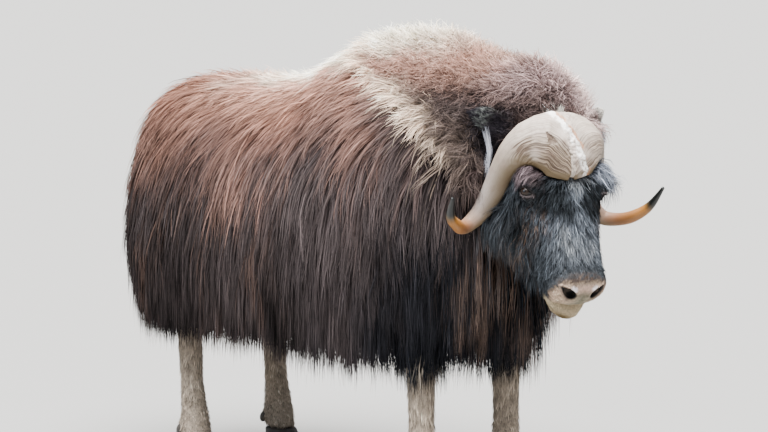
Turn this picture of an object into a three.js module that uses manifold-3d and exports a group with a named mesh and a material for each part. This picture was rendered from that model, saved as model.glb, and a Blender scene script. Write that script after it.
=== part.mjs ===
// A bull muskox standing with its head carried low and turned a little to its right.
// Life size, in millimetres: +X is forward, +Y is the animal's left, +Z is up, and the hooves stand on Z = 0.
// The trunk, neck and head are solid out to the tips of the coat, which hangs as a skirt to just above the feet.
import * as THREE from "three";
import { mergeVertices } from "three/addons/utils/BufferGeometryUtils.js";
import Module from "manifold-3d";

const wasm = await Module();
wasm.setup();

// Driving dimensions.
const HUMP_HEIGHT = 1350; // floor to the tips of the coat over the shoulders
const HEM_HEIGHT = 300; // floor to the end of the skirt of long hair
const COAT_HALF_WIDTH = 385; // middle of the back to the outside of the coat at the shoulder
const LEG_TRACK = 165; // middle of the animal to the middle of a leg
const FORE_LEG_X = 235;
const HIND_LEG_X = -770;
const HEAD_AT = [652, -76, 1009]; // middle of the skull, between the ears
const HEAD_YAW = -20.5; // degrees, turned to the right
const HEAD_PITCH = 56.5; // degrees, nose down
const HEAD_ROLL = 0.5;
const EYE_RADIUS = 20;
const EYE_AT = [117, 107, 42]; // in the head's own frame: x towards the nose, y left, z out of the forehead
const HOOF_HEIGHT = 52;
const PARTING = 8; // the groove between the two horns on the forehead
const GAP = 0.8; // clearance between neighbours

const SIDES = { left: 1, right: -1 };

// A manifold solid from a closed three.js geometry.
function solidOf(geometry) {
  const bare = geometry.clone();
  bare.deleteAttribute("normal");
  bare.deleteAttribute("uv");
  const merged = mergeVertices(bare, 1e-3);
  return new wasm.Manifold(
    new wasm.Mesh({
      numProp: 3,
      vertProperties: merged.attributes.position.array,
      triVerts: new Uint32Array(merged.index.array),
    }),
  );
}

// A flat-shaded three.js geometry from a manifold solid.
function geometryOf(solid) {
  const { numProp, vertProperties, triVerts } = solid.getMesh();
  const points = new Float32Array((vertProperties.length / numProp) * 3);
  for (let i = 0; i < points.length / 3; i++) {
    points.set(vertProperties.subarray(i * numProp, i * numProp + 3), i * 3);
  }
  const geometry = new THREE.BufferGeometry();
  geometry.setAttribute("position", new THREE.BufferAttribute(points, 3));
  geometry.setIndex(new THREE.BufferAttribute(triVerts, 1));
  const flat = geometry.toNonIndexed();
  flat.computeVertexNormals();
  return flat;
}

const join = (solids) => solids.reduce((all, one) => all.add(one));

// The solid moved by an object's matrix.
function placed(solid, matrix) {
  return solid.transform(matrix.elements);
}

const END_POWER = 2.3; // how full the rounded ends of a loft are: 2 is an ellipse
const TENSION = 0.5;

// How wide a body still is at a share of its length from one end, where that end rounds off over `over`.
function roundOff(share, over, power) {
  if (share >= over) return 1;
  return Math.pow(Math.max(0, 1 - Math.pow(1 - share / over, power)), 1 / power);
}

// A closed body through stations, each [x, y, z, wide, up, down]: a centre, and how far the skin is from it to
// each side, upwards and downwards. `upper` and `lower` are the powers of the two halves of the section: 2 is
// an ellipse and more is boxier. `start` and `finish` give the shares of the length over which the width, the
// top and the bottom round off.
function loft(stations, options) {
  const { along, around, grow = 0, up = [0, 0, 1] } = options;
  const { upper = 2, lower = 2, upright = false, dense = 0.6 } = options;
  const { start = [0.1, 0.1, 0.1], finish = [0.1, 0.1, 0.1] } = options;
  const { powers = [END_POWER, END_POWER, END_POWER] } = options;
  const line = new THREE.CatmullRomCurve3(
    stations.map(([x, y, z]) => new THREE.Vector3(x, y, z)),
    false,
    "catmullrom",
    TENSION,
  );
  line.arcLengthDivisions = 400;
  const sizes = new THREE.CatmullRomCurve3(
    stations.map(([, , , wide, top, bottom]) => new THREE.Vector3(wide, top, bottom)),
    false,
    "catmullrom",
    TENSION,
  );
  const reference = new THREE.Vector3(...up);
  const positions = [];
  for (let i = 0; i <= along; i++) {
    const even = i / along;
    const eased = (1 - Math.cos(Math.PI * even)) / 2;
    const share = even * (1 - dense) + eased * dense;
    const centre = line.getPointAt(share);
    const forward = upright
      ? new THREE.Vector3(1, 0, 0)
      : line.getTangentAt(share);
    if (i === 0) centre.addScaledVector(forward, -grow);
    if (i === along) centre.addScaledVector(forward, grow);
    const side = new THREE.Vector3().crossVectors(reference, forward).normalize();
    const rise = new THREE.Vector3().crossVectors(forward, side).normalize();
    const size = sizes.getPoint(line.getUtoTmapping(share));
    const ends = [0, 1, 2].map(
      (k) => roundOff(share, start[k], END_POWER) * roundOff(1 - share, finish[k], powers[k]),
    );
    if (i === 0 || i === along) {
      positions.push(centre);
      continue;
    }
    for (let k = 0; k < around; k++) {
      const angle = (2 * Math.PI * k) / around;
      const c = Math.cos(angle);
      const s = Math.sin(angle);
      const power = s >= 0 ? upper : lower;
      const reach = Math.pow(
        Math.pow(Math.abs(c), power) + Math.pow(Math.abs(s), power),
        -1 / power,
      );
      const wide = size.x * ends[0] + grow;
      const high = (s >= 0 ? size.y * ends[1] : size.z * ends[2]) + grow;
      positions.push(
        centre
          .clone()
          .addScaledVector(side, reach * c * wide)
          .addScaledVector(rise, reach * s * high),
      );
    }
  }
  return closedSkin(positions, around, along - 1);
}

// Triangles over a pole, `rings` rings of `around` points, and a second pole.
function closedSkin(positions, around, rings) {
  const index = [];
  const last = positions.length - 1;
  const at = (ring, k) => 1 + ring * around + (k % around);
  for (let k = 0; k < around; k++) {
    index.push(0, at(0, k + 1), at(0, k));
    index.push(last, at(rings - 1, k), at(rings - 1, k + 1));
    for (let ring = 0; ring < rings - 1; ring++) {
      index.push(at(ring, k), at(ring, k + 1), at(ring + 1, k + 1));
      index.push(at(ring, k), at(ring + 1, k + 1), at(ring + 1, k));
    }
  }
  const geometry = new THREE.BufferGeometry().setFromPoints(positions);
  geometry.setIndex(index);
  return solidOf(geometry);
}

// An ellipsoid, from a unit sphere.
function ellipsoid([x, y, z], [rx, ry, rz], columns = 24, rows = 16) {
  const sphere = new THREE.SphereGeometry(1, columns, rows);
  sphere.rotateX(Math.PI / 2);
  sphere.scale(rx, ry, rz);
  sphere.translate(x, y, z);
  return solidOf(sphere);
}

// The barrel of the body with the hump and the skirt. The hem rises a little between the legs.
function trunkBody(grow = 0) {
  const hem = HEM_HEIGHT;
  const widest = 690;
  const wide = COAT_HALF_WIDTH;
  const row = (x, back, share, low = hem) => [
    x, 0, widest, wide * share, back - widest, widest - low,
  ];
  const stations = [
    row(-1085, 1056, 0.9, hem + 20),
    row(-985, 1100, 0.92),
    row(-720, 1154, 0.95, hem + 5),
    row(-400, 1190, 0.97, hem + 15),
    row(-255, 1238, 0.98, hem + 12),
    row(-95, 1305, 1),
    row(90, HUMP_HEIGHT, 1, hem - 5),
    row(255, 1328, 1, hem),
    row(330, 1300, 1, hem + 15),
    row(395, 1272, 1, hem + 40),
  ];
  return loft(stations, {
    along: 21,
    around: 24,
    upper: 2.05,
    lower: 5,
    upright: true,
    grow,
    powers: [2, END_POWER, END_POWER],
    start: [0.27, 0.13, 0.04],
    finish: [0.3, 0.05, 0.12],
  });
}

// The thick neck, from inside the shoulders to the back of the skull.
function neckBody(grow = 0) {
  const stations = [
    [-60, 0, 840, 368, 430, 400],
    [100, 0, 845, 364, 440, 410],
    [220, 0, 850, 344, 446, 430],
    [330, 0, 860, 306, 432, 440],
    [430, -4, 880, 256, 400, 420],
    [520, -12, 915, 204, 350, 400],
    [590, -22, 950, 158, 290, 340],
    [680, -44, 985, 130, 222, 240],
  ];
  return loft(stations, {
    along: 13,
    around: 22,
    upper: 2.2,
    lower: 2.2,
    upright: true,
    grow,
    start: [0.12, 0.12, 0.12],
    finish: [0.14, 0.12, 0.21],
  });
}

// The beard of long hair under the jaw, down to its lowest strands.
function beardBody(grow = 0) {
  const stations = [
    [608, -62, 900, 92, 60, 150],
    [600, -60, 760, 112, 90, 190],
    [572, -54, 620, 110, 98, 190],
    [534, -48, 500, 88, 92, 160],
    [498, -44, 400, 48, 66, 110],
  ];
  return loft(stations, {
    along: 10,
    around: 18,
    up: [1, 0, 0],
    grow,
    start: [0.1, 0.1, 0.1],
    finish: [0.2, 0.2, 0.2],
  });
}

// In the head's own frame: the skull and jaws under the short coat, broad at the eyes and again at the muzzle.
function headBody() {
  const skull = loft(
    [
      [-125, 0, 0, 96, 84, 96],
      [-30, 0, 0, 114, 98, 118],
      [60, 0, 0, 118, 108, 138],
      [130, 0, -5, 114, 100, 146],
      [220, 0, -16, 94, 86, 138],
      [310, 0, -32, 84, 76, 116],
      [375, 0, -44, 78, 64, 96],
      [412, 0, -50, 62, 50, 76],
    ],
    {
      along: 12,
      around: 18,
      upper: 2.2,
      lower: 2.2,
      start: [0.16, 0.16, 0.16],
      finish: [0.08, 0.1, 0.1],
    },
  );
  const muzzle = ellipsoid([366, 0, -24], [54, 86, 68], 14, 8);
  const chin = ellipsoid([366, 0, -118], [54, 52, 42], 12, 6);
  const brows = Object.values(SIDES).map((side) =>
    ellipsoid([84, side * 88, 54], [58, 42, 36], 10, 8),
  );
  const nostrils = Object.values(SIDES).map((side) =>
    ellipsoid([414, side * 38, -4], [26, 12, 16], 8, 6),
  );
  const mouth = ellipsoid([400, 0, -86], [60, 90, 4], 14, 4);
  return join([skull, muzzle, chin, ...brows]).subtract(join([...nostrils, mouth]));
}

// The horn of one side, in the head's frame: a broad plate on the forehead, a shaft down beside the cheek, and
// a tip hooked outwards and up.
function horn(side, grow = 0) {
  const stations = [
    [24, -30, 108, 96, 42, 36],
    [20, 6, 114, 98, 44, 38],
    [4, 44, 118, 92, 46, 48],
    [-8, 83, 92, 72, 42, 50],
    [-6, 112, 34, 50, 38, 44],
    [14, 132, -30, 36, 34, 34],
    [46, 146, -100, 32, 31, 31],
    [74, 166, -154, 26, 26, 26],
    [98, 200, -176, 21, 21, 21],
    [118, 232, -154, 18, 18, 18],
    [131, 262, -112, 16.5, 16.5, 16.5],
    [124, 296, -66, 12, 12, 12],
    [105, 313, 20, 3, 3, 3],
  ].map(([x, y, z, ...size]) => [x, side * y, z, ...size]);
  const whole = loft(stations, {
    along: 22,
    around: 12,
    upper: 2.2,
    lower: 2.2,
    dense: 0.2,
    grow,
    up: [0.05, side * 0.45, 0.9],
    start: [0.02, 0.02, 0.02],
    finish: [0.02, 0.02, 0.02],
  });
  return whole.trimByPlane([0, side, 0], PARTING / 2 - grow);
}

// An ear of one side, held out and back: a leaf, hollowed on the face that looks forward and out.
function earLeaf(side, grow = 0) {
  const stations = [
    [-52, 82, 12, 26, 20, 20],
    [-76, 112, 24, 35, 17, 17],
    [-102, 146, 28, 39, 14, 14],
    [-130, 184, 20, 30, 10, 10],
    [-150, 210, 10, 10, 5, 5],
  ].map(([x, y, z, ...size]) => [x, side * y, z, ...size]);
  return loft(stations, {
    along: 8,
    around: 10,
    grow,
    dense: 0.4,
    up: [0.75, side * 0.2, 0.62],
    start: [0.1, 0.1, 0.1],
    finish: [0.25, 0.3, 0.3],
  });
}

function ear(side) {
  const hollow = loft(
    [
      [-66, side * 112, 40, 16, 12, 12],
      [-92, side * 148, 44, 24, 15, 15],
      [-116, side * 178, 38, 15, 12, 12],
    ],
    {
      along: 5,
      around: 8,
      up: [0.75, side * 0.2, 0.62],
      start: [0.5, 0.5, 0.5],
      finish: [0.5, 0.5, 0.5],
    },
  );
  return earLeaf(side).subtract(hollow);
}

// A leg, from inside the body down to the top of its hooves. `fore` legs have a straight knee and hind legs a
// cannon that leans back up to the hock.
function leg(side, fore) {
  const x = fore ? FORE_LEG_X : HIND_LEG_X;
  const y = side * LEG_TRACK;
  const bend = fore ? [0, -4, 2, 0, 6] : [10, -34, -14, -2, 6];
  const thick = fore ? 1 : 0.95;
  const row = (z, shift, wide, front, back) => [
    x + shift, y, z, wide * thick, front * thick, back * thick,
  ];
  const stations = [
    row(560, bend[0], 82, 92, 92),
    row(350, bend[1], 58, 60, 62),
    row(215, bend[2], 40, 42, 42),
    row(110, bend[3], 49, 50, 54),
    row(62, bend[4], 48, 52, 48),
    row(-30, bend[4] + 8, 50, 56, 50),
  ];
  const whole = loft(stations, {
    along: 9,
    around: 12,
    upper: 2.2,
    lower: 2.2,
    dense: 0.1,
    up: [1, 0, 0],
    start: [0.1, 0.1, 0.1],
    finish: [0, 0, 0],
  });
  return whole.trimByPlane([0, 0, 1], HOOF_HEIGHT + GAP);
}

// One claw of a cloven hoof: rounded outside and in front, flat along the cleft, flaring down to a flat sole.
function claw(side, outward, fore) {
  const length = fore ? 128 : 112;
  const width = fore ? 58 : 51;
  const cleft = 3;
  const outline = new THREE.Shape();
  outline.moveTo(-0.42, 0);
  outline.lineTo(0.52, 0);
  outline.bezierCurveTo(0.6, 0.3, 0.5, 0.86, 0.16, 0.98);
  outline.bezierCurveTo(-0.14, 1.06, -0.42, 0.86, -0.42, 0);
  const ring = outline.getPoints(5).slice(0, -1);
  const levels = [
    [0, 0.94],
    [7, 1],
    [HOOF_HEIGHT - 4, 0.84],
    [HOOF_HEIGHT, 0.8],
  ];
  const x = (fore ? FORE_LEG_X : HIND_LEG_X) + 22;
  const y = side * LEG_TRACK;
  const turn = outward * side;
  const point = (across, z, size) => {
    const lean = -0.42 * z;
    return new THREE.Vector3(
      x + across.x * length * size + lean,
      y + turn * (cleft + across.y * width * size),
      z,
    );
  };
  const positions = [point({ x: 0, y: 0.4 }, 0, 1)];
  for (const [z, size] of levels) {
    const points = ring.map((p) => point(p, z, size));
    positions.push(...(turn > 0 ? points : points.reverse()));
  }
  positions.push(point({ x: 0, y: 0.4 }, HOOF_HEIGHT, 1));
  return closedSkin(positions, ring.length, levels.length);
}

// The small claw behind the fetlock.
function dewclaw(side, outward, fore) {
  const x = (fore ? FORE_LEG_X : HIND_LEG_X) - 46;
  const y = side * LEG_TRACK + outward * side * 24;
  return ellipsoid([x, y, 92], [17, 13, 20], 8, 5);
}

function tailStub(grow = 0) {
  const stations = [
    [-1010, 0, 985, 34, 26, 26],
    [-1072, 0, 930, 42, 27, 27],
    [-1100, 0, 862, 38, 22, 22],
    [-1106, 0, 800, 22, 12, 12],
  ];
  return loft(stations, { along: 8, around: 12, grow, up: [-1, 0, 0.3] });
}

// Parting planes between trunk and neck, neck and head, and head and throat mane: a point and a normal.
const SHOULDER_CUT = [[322, 0, 900], [1, 0, 0.12]];
const NAPE_CUT = [[538, -14, 900], [0.95, -0.3, 0.1]];
const JAW_CUT = [[606, -40, 800], [0.774, -0.1, 0.633]];

// The two pieces of a solid on either side of a plane: ahead of it, and behind it.
function parted(solid, [point, normal]) {
  const facing = new THREE.Vector3(...normal).normalize();
  const offset = facing.dot(new THREE.Vector3(...point));
  const ahead = solid.trimByPlane(facing.toArray(), offset + GAP / 2);
  const behind = solid.trimByPlane(facing.clone().negate().toArray(), -offset + GAP / 2);
  return [ahead, behind];
}

const material = (colour, roughness) =>
  new THREE.MeshStandardMaterial({ color: colour, roughness, metalness: 0 });
const coatBrown = material(0x4a3228, 0.9);
const coatPale = material(0x9c8672, 0.9);
const coatBlack = material(0x2a2424, 0.9);
const legPale = material(0xa89a86, 0.9);
const keratin = material(0xb8a284, 0.55);
const hoofBlack = material(0x2a2522, 0.6);
const eyeBrown = material(0x1c120c, 0.15);

const muskox = new THREE.Group();
const head = new THREE.Group();
head.position.set(...HEAD_AT);
head.rotation.set(
  THREE.MathUtils.degToRad(HEAD_ROLL),
  THREE.MathUtils.degToRad(HEAD_PITCH),
  THREE.MathUtils.degToRad(HEAD_YAW),
  "ZYX",
);
head.updateMatrix();
const intoHead = head.matrix.clone().invert();

// Adds a solid to a group as a named mesh.
function add(group, name, solid, look) {
  const mesh = new THREE.Mesh(geometryOf(solid), look);
  mesh.name = name;
  group.add(mesh);
  return mesh;
}

// What is let into the head and neck, a clearance larger than it is, in the head's frame.
const sides = Object.values(SIDES);
const fitted = join([
  ...sides.flatMap((side) => [horn(side, GAP), horn(side)]),
  ...sides.map((side) => earLeaf(side, GAP)),
  ...sides.map((side) =>
    ellipsoid([EYE_AT[0], side * EYE_AT[1], EYE_AT[2]], Array(3).fill(EYE_RADIUS + GAP), 12, 8),
  ),
]);

const flesh = join([trunkBody(), neckBody(), beardBody(), placed(headBody(), head.matrix)])
  .subtract(placed(fitted, head.matrix))
  .subtract(tailStub(GAP));
const [foreEnd, trunk] = parted(flesh, SHOULDER_CUT);
const [headEnd, neck] = parted(foreEnd, NAPE_CUT);
const [face, throatMane] = parted(headEnd, JAW_CUT);

add(muskox, "trunk", trunk, coatBrown);
add(muskox, "neck", neck, coatPale);
add(muskox, "throat_mane", throatMane, coatBlack);
add(muskox, "tail", tailStub(), coatBrown);
add(head, "head", placed(face, intoHead), coatBlack);

for (const [name, side] of Object.entries(SIDES)) {
  add(head, `horn_${name}`, horn(side), keratin);
  add(head, `ear_${name}`, ear(side).subtract(horn(side, GAP)), coatBlack);
  const eye = add(
    head,
    `eye_${name}`,
    ellipsoid([0, 0, 0], Array(3).fill(EYE_RADIUS), 12, 8),
    eyeBrown,
  );
  eye.position.set(EYE_AT[0], side * EYE_AT[1], EYE_AT[2]);
}

const body = trunkBody(GAP);
for (const [place, fore] of [["fore", true], ["hind", false]]) {
  for (const [name, side] of Object.entries(SIDES)) {
    const spurs = [1, -1].map((outward) => dewclaw(side, outward, fore));
    const limb = join([leg(side, fore), ...spurs]).subtract(body);
    add(muskox, `leg_${place}_${name}`, limb, legPale);
    for (const [where, outward] of [["outer", 1], ["inner", -1]]) {
      add(muskox, `hoof_${place}_${name}_${where}`, claw(side, outward, fore), hoofBlack);
    }
  }
}
muskox.add(head);

// The origin is on the floor under the middle of the whole animal.
muskox.updateMatrixWorld(true);
const box = new THREE.Box3().setFromObject(muskox, true);
const middle = box.getCenter(new THREE.Vector3());
muskox.children.forEach((child) => child.position.sub(new THREE.Vector3(middle.x, middle.y, 0)));

export default muskox;
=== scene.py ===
# %% [markdown]
# # A bull muskox
# A muskox is mostly hair: a woolly mantle over the shoulders, and a skirt of long brown hair that hides the
# body almost down to the feet. This lesson builds a still, life-size one around a plain solid model. First
# comes the skin, then the eyes, horns and hooves, and then a coat of many thin locks that follow the lie of
# the hair.

# %% The plain solid model
import time

import bpy
import numpy as np
from mathutils import Matrix, Vector, kdtree
from mathutils.bvhtree import BVHTree


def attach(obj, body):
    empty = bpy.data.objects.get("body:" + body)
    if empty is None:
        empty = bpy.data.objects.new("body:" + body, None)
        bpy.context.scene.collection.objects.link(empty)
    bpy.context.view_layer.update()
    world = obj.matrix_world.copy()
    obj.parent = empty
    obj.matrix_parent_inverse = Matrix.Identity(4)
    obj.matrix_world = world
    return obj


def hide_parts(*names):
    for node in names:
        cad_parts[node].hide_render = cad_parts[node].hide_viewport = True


started = time.time()
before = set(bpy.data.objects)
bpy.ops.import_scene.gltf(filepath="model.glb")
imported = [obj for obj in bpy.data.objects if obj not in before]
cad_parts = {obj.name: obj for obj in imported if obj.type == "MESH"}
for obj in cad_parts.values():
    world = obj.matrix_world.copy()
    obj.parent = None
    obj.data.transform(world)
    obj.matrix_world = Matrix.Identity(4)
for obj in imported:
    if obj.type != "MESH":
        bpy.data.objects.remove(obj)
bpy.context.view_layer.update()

# %% [markdown]
# ## Camera, floor and light
# The picture was taken from far away with a long lens, from the animal's right and ahead, a little above its
# back. The feet fall below the frame. A large pale floor and broad soft lamps stand in for a studio.

# %% The camera
FOCAL_PIXELS = 3704
PICTURE_WIDTH = 768
SENSOR = 36
VIEW_TURN, VIEW_DOWN = 48, 7
EYE_POINT = (7.9144, -7.1103, 2.0838)

bpy.ops.object.camera_add(
    location=EYE_POINT, rotation=(np.radians(90 - VIEW_DOWN), 0, np.radians(VIEW_TURN))
)
camera = bpy.context.object
camera.data.sensor_width = SENSOR
camera.data.lens = FOCAL_PIXELS / PICTURE_WIDTH * SENSOR
camera.data.clip_end = 300
bpy.context.scene.camera = camera
print("lens", round(camera.data.lens, 1), "mm")


# %% Floor and lamps
def lamp(name, place, aim, size, power, tint):
    """A square area lamp at a place, turned towards a point."""
    turn = (Vector(aim) - Vector(place)).to_track_quat("-Z", "Y").to_euler()
    bpy.ops.object.light_add(type="AREA", location=place, rotation=turn)
    light = bpy.context.object
    light.name = name
    light.data.size = size
    light.data.energy = power
    light.data.color = tint


bpy.ops.mesh.primitive_plane_add(size=160, location=(0, 0, 0))
floor = bpy.context.object
floor.name = "studio_floor"
paper = bpy.data.materials.new("pale_paper")
paper.use_nodes = True
paper.node_tree.nodes["Principled BSDF"].inputs["Base Color"].default_value = (0.25, 0.248, 0.243, 1)
paper.node_tree.nodes["Principled BSDF"].inputs["Roughness"].default_value = 0.9
floor.data.materials.append(paper)
bpy.ops.object.light_add(type="SUN", location=(0, 0, 6))
skylight = bpy.context.object
skylight.name = "skylight"
skylight.rotation_euler = Vector((0.02, -0.14, 0.985)).to_track_quat("Z", "Y").to_euler()
skylight.data.angle = np.radians(66)
skylight.data.energy = 23.0
skylight.data.color = (1, 0.985, 0.96)
lamp("front_lamp", (5.5, -4.0, 3.8), (0, 0, 0.8), 3.0, 80, (0.92, 0.96, 1))
lamp("side_lamp", (-0.2, -3.1, 2.7), (1.0, -0.2, 1.0), 2.0, 80, (0.75, 0.87, 1))
world = bpy.context.scene.world or bpy.data.worlds.new("studio")
bpy.context.scene.world = world
world.use_nodes = True
world.node_tree.nodes["Background"].inputs["Color"].default_value = (0.80, 0.88, 1.0, 1)
world.node_tree.nodes["Background"].inputs["Strength"].default_value = 0.45

# %% [markdown]
# ## Sizes shared by all pieces
# The head has a frame of its own: x towards the nose, y to the animal's left, z out of the forehead. It hangs
# nose down and is turned to the right. A few helpers read and write the points of a mesh as number arrays.

# %% The head's frame
HEAD_AT = np.array([0.7690, -0.0710, 1.0090])
HEAD_YAW, HEAD_PITCH, HEAD_ROLL = np.radians((-20.5, 56.5, 0.5))
HEAD_TURN = np.array(
    Matrix.Rotation(HEAD_YAW, 3, "Z")
    @ Matrix.Rotation(HEAD_PITCH, 3, "Y")
    @ Matrix.Rotation(HEAD_ROLL, 3, "X")
)
EYE_AT = np.array([0.117, 0.107, 0.042])
EYE_RADIUS = 0.020
SIDES = {"left": 1, "right": -1}


def to_head(points):
    return (points - HEAD_AT) @ HEAD_TURN


def from_head(points):
    return points @ HEAD_TURN.T + HEAD_AT


def turn_from_head(vectors):
    return np.asarray(vectors, float) @ HEAD_TURN.T


def from_eyes(local):
    """The distance to the nearer eye, for points in the head's frame."""
    return np.minimum(*[np.linalg.norm(local - EYE_AT * [1, side, 1], axis=1) for side in SIDES.values()])


# %% Small helpers
def read(items, what, each=3, kind=np.float32):
    """One property of all of a mesh's items, as rows of numbers."""
    out = np.empty(len(items) * each, kind)
    items.foreach_get(what, out)
    return out.reshape(-1, each)


def points_of(piece):
    return read(piece.data.vertices, "co").astype(float)


def normals_of(piece):
    return read(piece.data.vertices, "normal").astype(float)


def set_points(piece, points):
    piece.data.vertices.foreach_set("co", np.asarray(points, np.float32).ravel())
    piece.data.update()


def ease(value, low, high):
    """0 up to `low`, 1 from `high` on, and a smooth rise between them."""
    t = np.clip((value - low) / (high - low), 0, 1)
    return t * t * (3 - 2 * t)


def bell(gap, width=1):
    """1 where the gap is 0, falling smoothly to nearly 0 at twice the width on each side."""
    return np.exp(-((gap / width) ** 2))


def lerp(first, second, share):
    return first * (1 - share) + second * share


def unit(vectors):
    return vectors / np.maximum(np.linalg.norm(vectors, axis=-1, keepdims=True), 1e-9)


def ripple(points, size, seed, waves=9):
    """A smooth random number from about -1 to 1 at each point, changing over about `size` metres."""
    draw = np.random.default_rng(seed)
    ways = unit(draw.normal(size=(waves, 3))) * (2 * np.pi / size) * draw.uniform(0.6, 1.5, (waves, 1))
    shifts = draw.uniform(0, 2 * np.pi, waves)
    return np.sin(points @ ways.T + shifts).sum(1) / np.sqrt(waves / 2) / 1.6


def only(*pieces):
    bpy.ops.object.select_all(action="DESELECT")
    for piece in pieces:
        piece.select_set(True)
    bpy.context.view_layer.objects.active = pieces[0]


def edit(piece, operator, **settings):
    """Runs a mesh operator on the whole piece, in edit mode."""
    only(piece)
    bpy.ops.object.mode_set(mode="EDIT")
    bpy.ops.mesh.select_all(action="SELECT")
    operator(**settings)
    bpy.ops.object.mode_set(mode="OBJECT")


def apply_modifier(piece, kind, **settings):
    only(piece)
    modifier = piece.modifiers.new(kind.lower(), kind)
    for key, value in settings.items():
        setattr(modifier, key, value)
    bpy.ops.object.modifier_apply(modifier=modifier.name)


def copy_of(piece):
    twin = piece.copy()
    twin.data = piece.data.copy()
    bpy.context.scene.collection.objects.link(twin)
    return twin


def join(pieces):
    only(*pieces)
    if len(pieces) > 1:
        bpy.ops.object.join()
    return bpy.context.view_layer.objects.active


def join_copies(name, nodes):
    """One object made of copies of solids, with their loose triangles merged."""
    copies = [copy_of(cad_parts[node]) for node in nodes]
    for twin in copies:
        twin.parent = None
        for key in list(twin.keys()):
            del twin[key]
    piece = join(copies)
    edit(piece, bpy.ops.mesh.remove_doubles, threshold=1e-5)
    piece.name = piece.data.name = name
    piece.data.materials.clear()
    return piece


def swell(piece, amount):
    set_points(piece, points_of(piece) + normals_of(piece) * amount)


def relax(piece, times, share=0.5):
    apply_modifier(piece, "SMOOTH", factor=share, iterations=times)


def even_out(piece, cell):
    """One even closed surface of small squares round everything in the piece."""
    apply_modifier(piece, "REMESH", mode="VOXEL", voxel_size=cell)


def shape_smooth(piece, points):
    set_points(piece, points)
    only(piece)
    bpy.ops.object.shade_smooth()


def tree_of(piece):
    faces = [tuple(face.vertices) for face in piece.data.polygons]
    return BVHTree.FromPolygons([tuple(p) for p in points_of(piece)], faces)


def nearest_row(rows, points):
    """The number of the row that lies nearest to each point."""
    finder = kdtree.KDTree(len(rows))
    for i, row in enumerate(rows):
        finder.insert(Vector(row), i)
    finder.balance()
    return np.array([finder.find(Vector(p))[1] for p in points])


def keep(piece, slot, *nodes):
    """The piece is part of the animal, and stands for these nodes of the solid model."""
    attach(piece, "root")
    if nodes:
        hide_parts(*nodes)
    print(piece.name, len(piece.data.polygons), "faces", round(time.time() - started, 1), "s")


# %% [markdown]
# ## The skin
# One closed skin stands for the trunk, neck, throat, tail, head, ears and legs. The solids reach out to the
# tips of the hair, so the skin is the same shape pushed inwards by the depth of the coat: about 4 cm on the
# body and under 1 cm on the face. The skirt and the beard are nearly all hair, so the belly is lifted and the
# throat is drawn up. A remesh turns the overlapping solids into one even surface.

# %% The trunk and neck under the hair
HEM = 0.62  # below this height the skirt is hair only
BODY_DEPTH, FACE_DEPTH = 0.043, 0.006
BODY_CELL, HEAD_CELL, SKIN_CELL, EAR_CELL = 0.014, 0.005, 0.0115, 0.0032
body = join_copies("skin", ["trunk", "neck", "throat_mane", "tail", "head"])
swell(body, 0.0015)
even_out(body, BODY_CELL)
relax(body, 4)

# Where the back of the coat stands fuller than the solid: how much, at places from the rump to the neck.
FULL_AT = [-1.00, -0.89, -0.80, -0.70, -0.60, -0.50, -0.33, -0.15, -0.04, 0.04, 0.09, 0.15, 0.30]
FULL_BY = [0.034, 0.036, 0.036, 0.033, 0.022, 0.011, 0.0, 0.003, 0.017, 0.024, 0.015, 0.007, 0.0]


def coat_depth(points):
    """How deep the skin lies under the tips of the hair."""
    in_head = to_head(points)
    head = ease(in_head[:, 0], -0.02, 0.06) * ease(-np.abs(in_head[:, 1]), -0.2, -0.15)
    head *= ease(in_head[:, 2], -0.2, -0.16)
    full = np.interp(points[:, 0], FULL_AT, FULL_BY)
    full *= 0.3 + 0.7 * ease(points[:, 2], 0.80, 1.0) * ease(-np.abs(points[:, 1]), -0.32, -0.12)
    return (BODY_DEPTH - full) * (1 - head) + FACE_DEPTH * head


STEPS = 6
for _ in range(STEPS):
    here = points_of(body)
    set_points(body, here - normals_of(body) * (coat_depth(here) / STEPS)[:, None])
    relax(body, 2)

here = points_of(body)
ahead = ease(here[:, 0], 0.42, 0.62)
limit = HEM + 0.17 * ahead
under = np.maximum(0, limit - here[:, 2])
not_face = 1 - ease(to_head(here)[:, 0], -0.02, 0.05) * ease(to_head(here)[:, 2], -0.19, -0.15)
here[:, 2] += under * (0.42 + 0.25 * ahead) * not_face
here[:, 1] *= 1 - 0.22 * ease(under, 0, 0.3) * not_face
set_points(body, here)
relax(body, 6)
print("trunk and neck", len(body.data.polygons), "faces")

# %% The head and the ears, fine enough to carve
head = join_copies("head_skin", ["head"])
swell(head, 0.0012)
for side in SIDES.values():
    bpy.ops.mesh.primitive_uv_sphere_add(
        segments=24, ring_count=16, radius=EYE_RADIUS + 0.003,
        location=from_head((EYE_AT - [0, 0.006, 0]) * [1, side, 1]),
    )
    join([head, bpy.context.object])
even_out(head, HEAD_CELL)
relax(head, 5)
here = points_of(head)
in_head = to_head(here)
nose = ease(in_head[:, 0], 0.28, 0.36)
depth = 0.0075 * (1 - nose) * ease(from_eyes(in_head), 0.02, 0.05) + 0.001
set_points(head, here - normals_of(head) * depth[:, None])
relax(head, 2)

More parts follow.
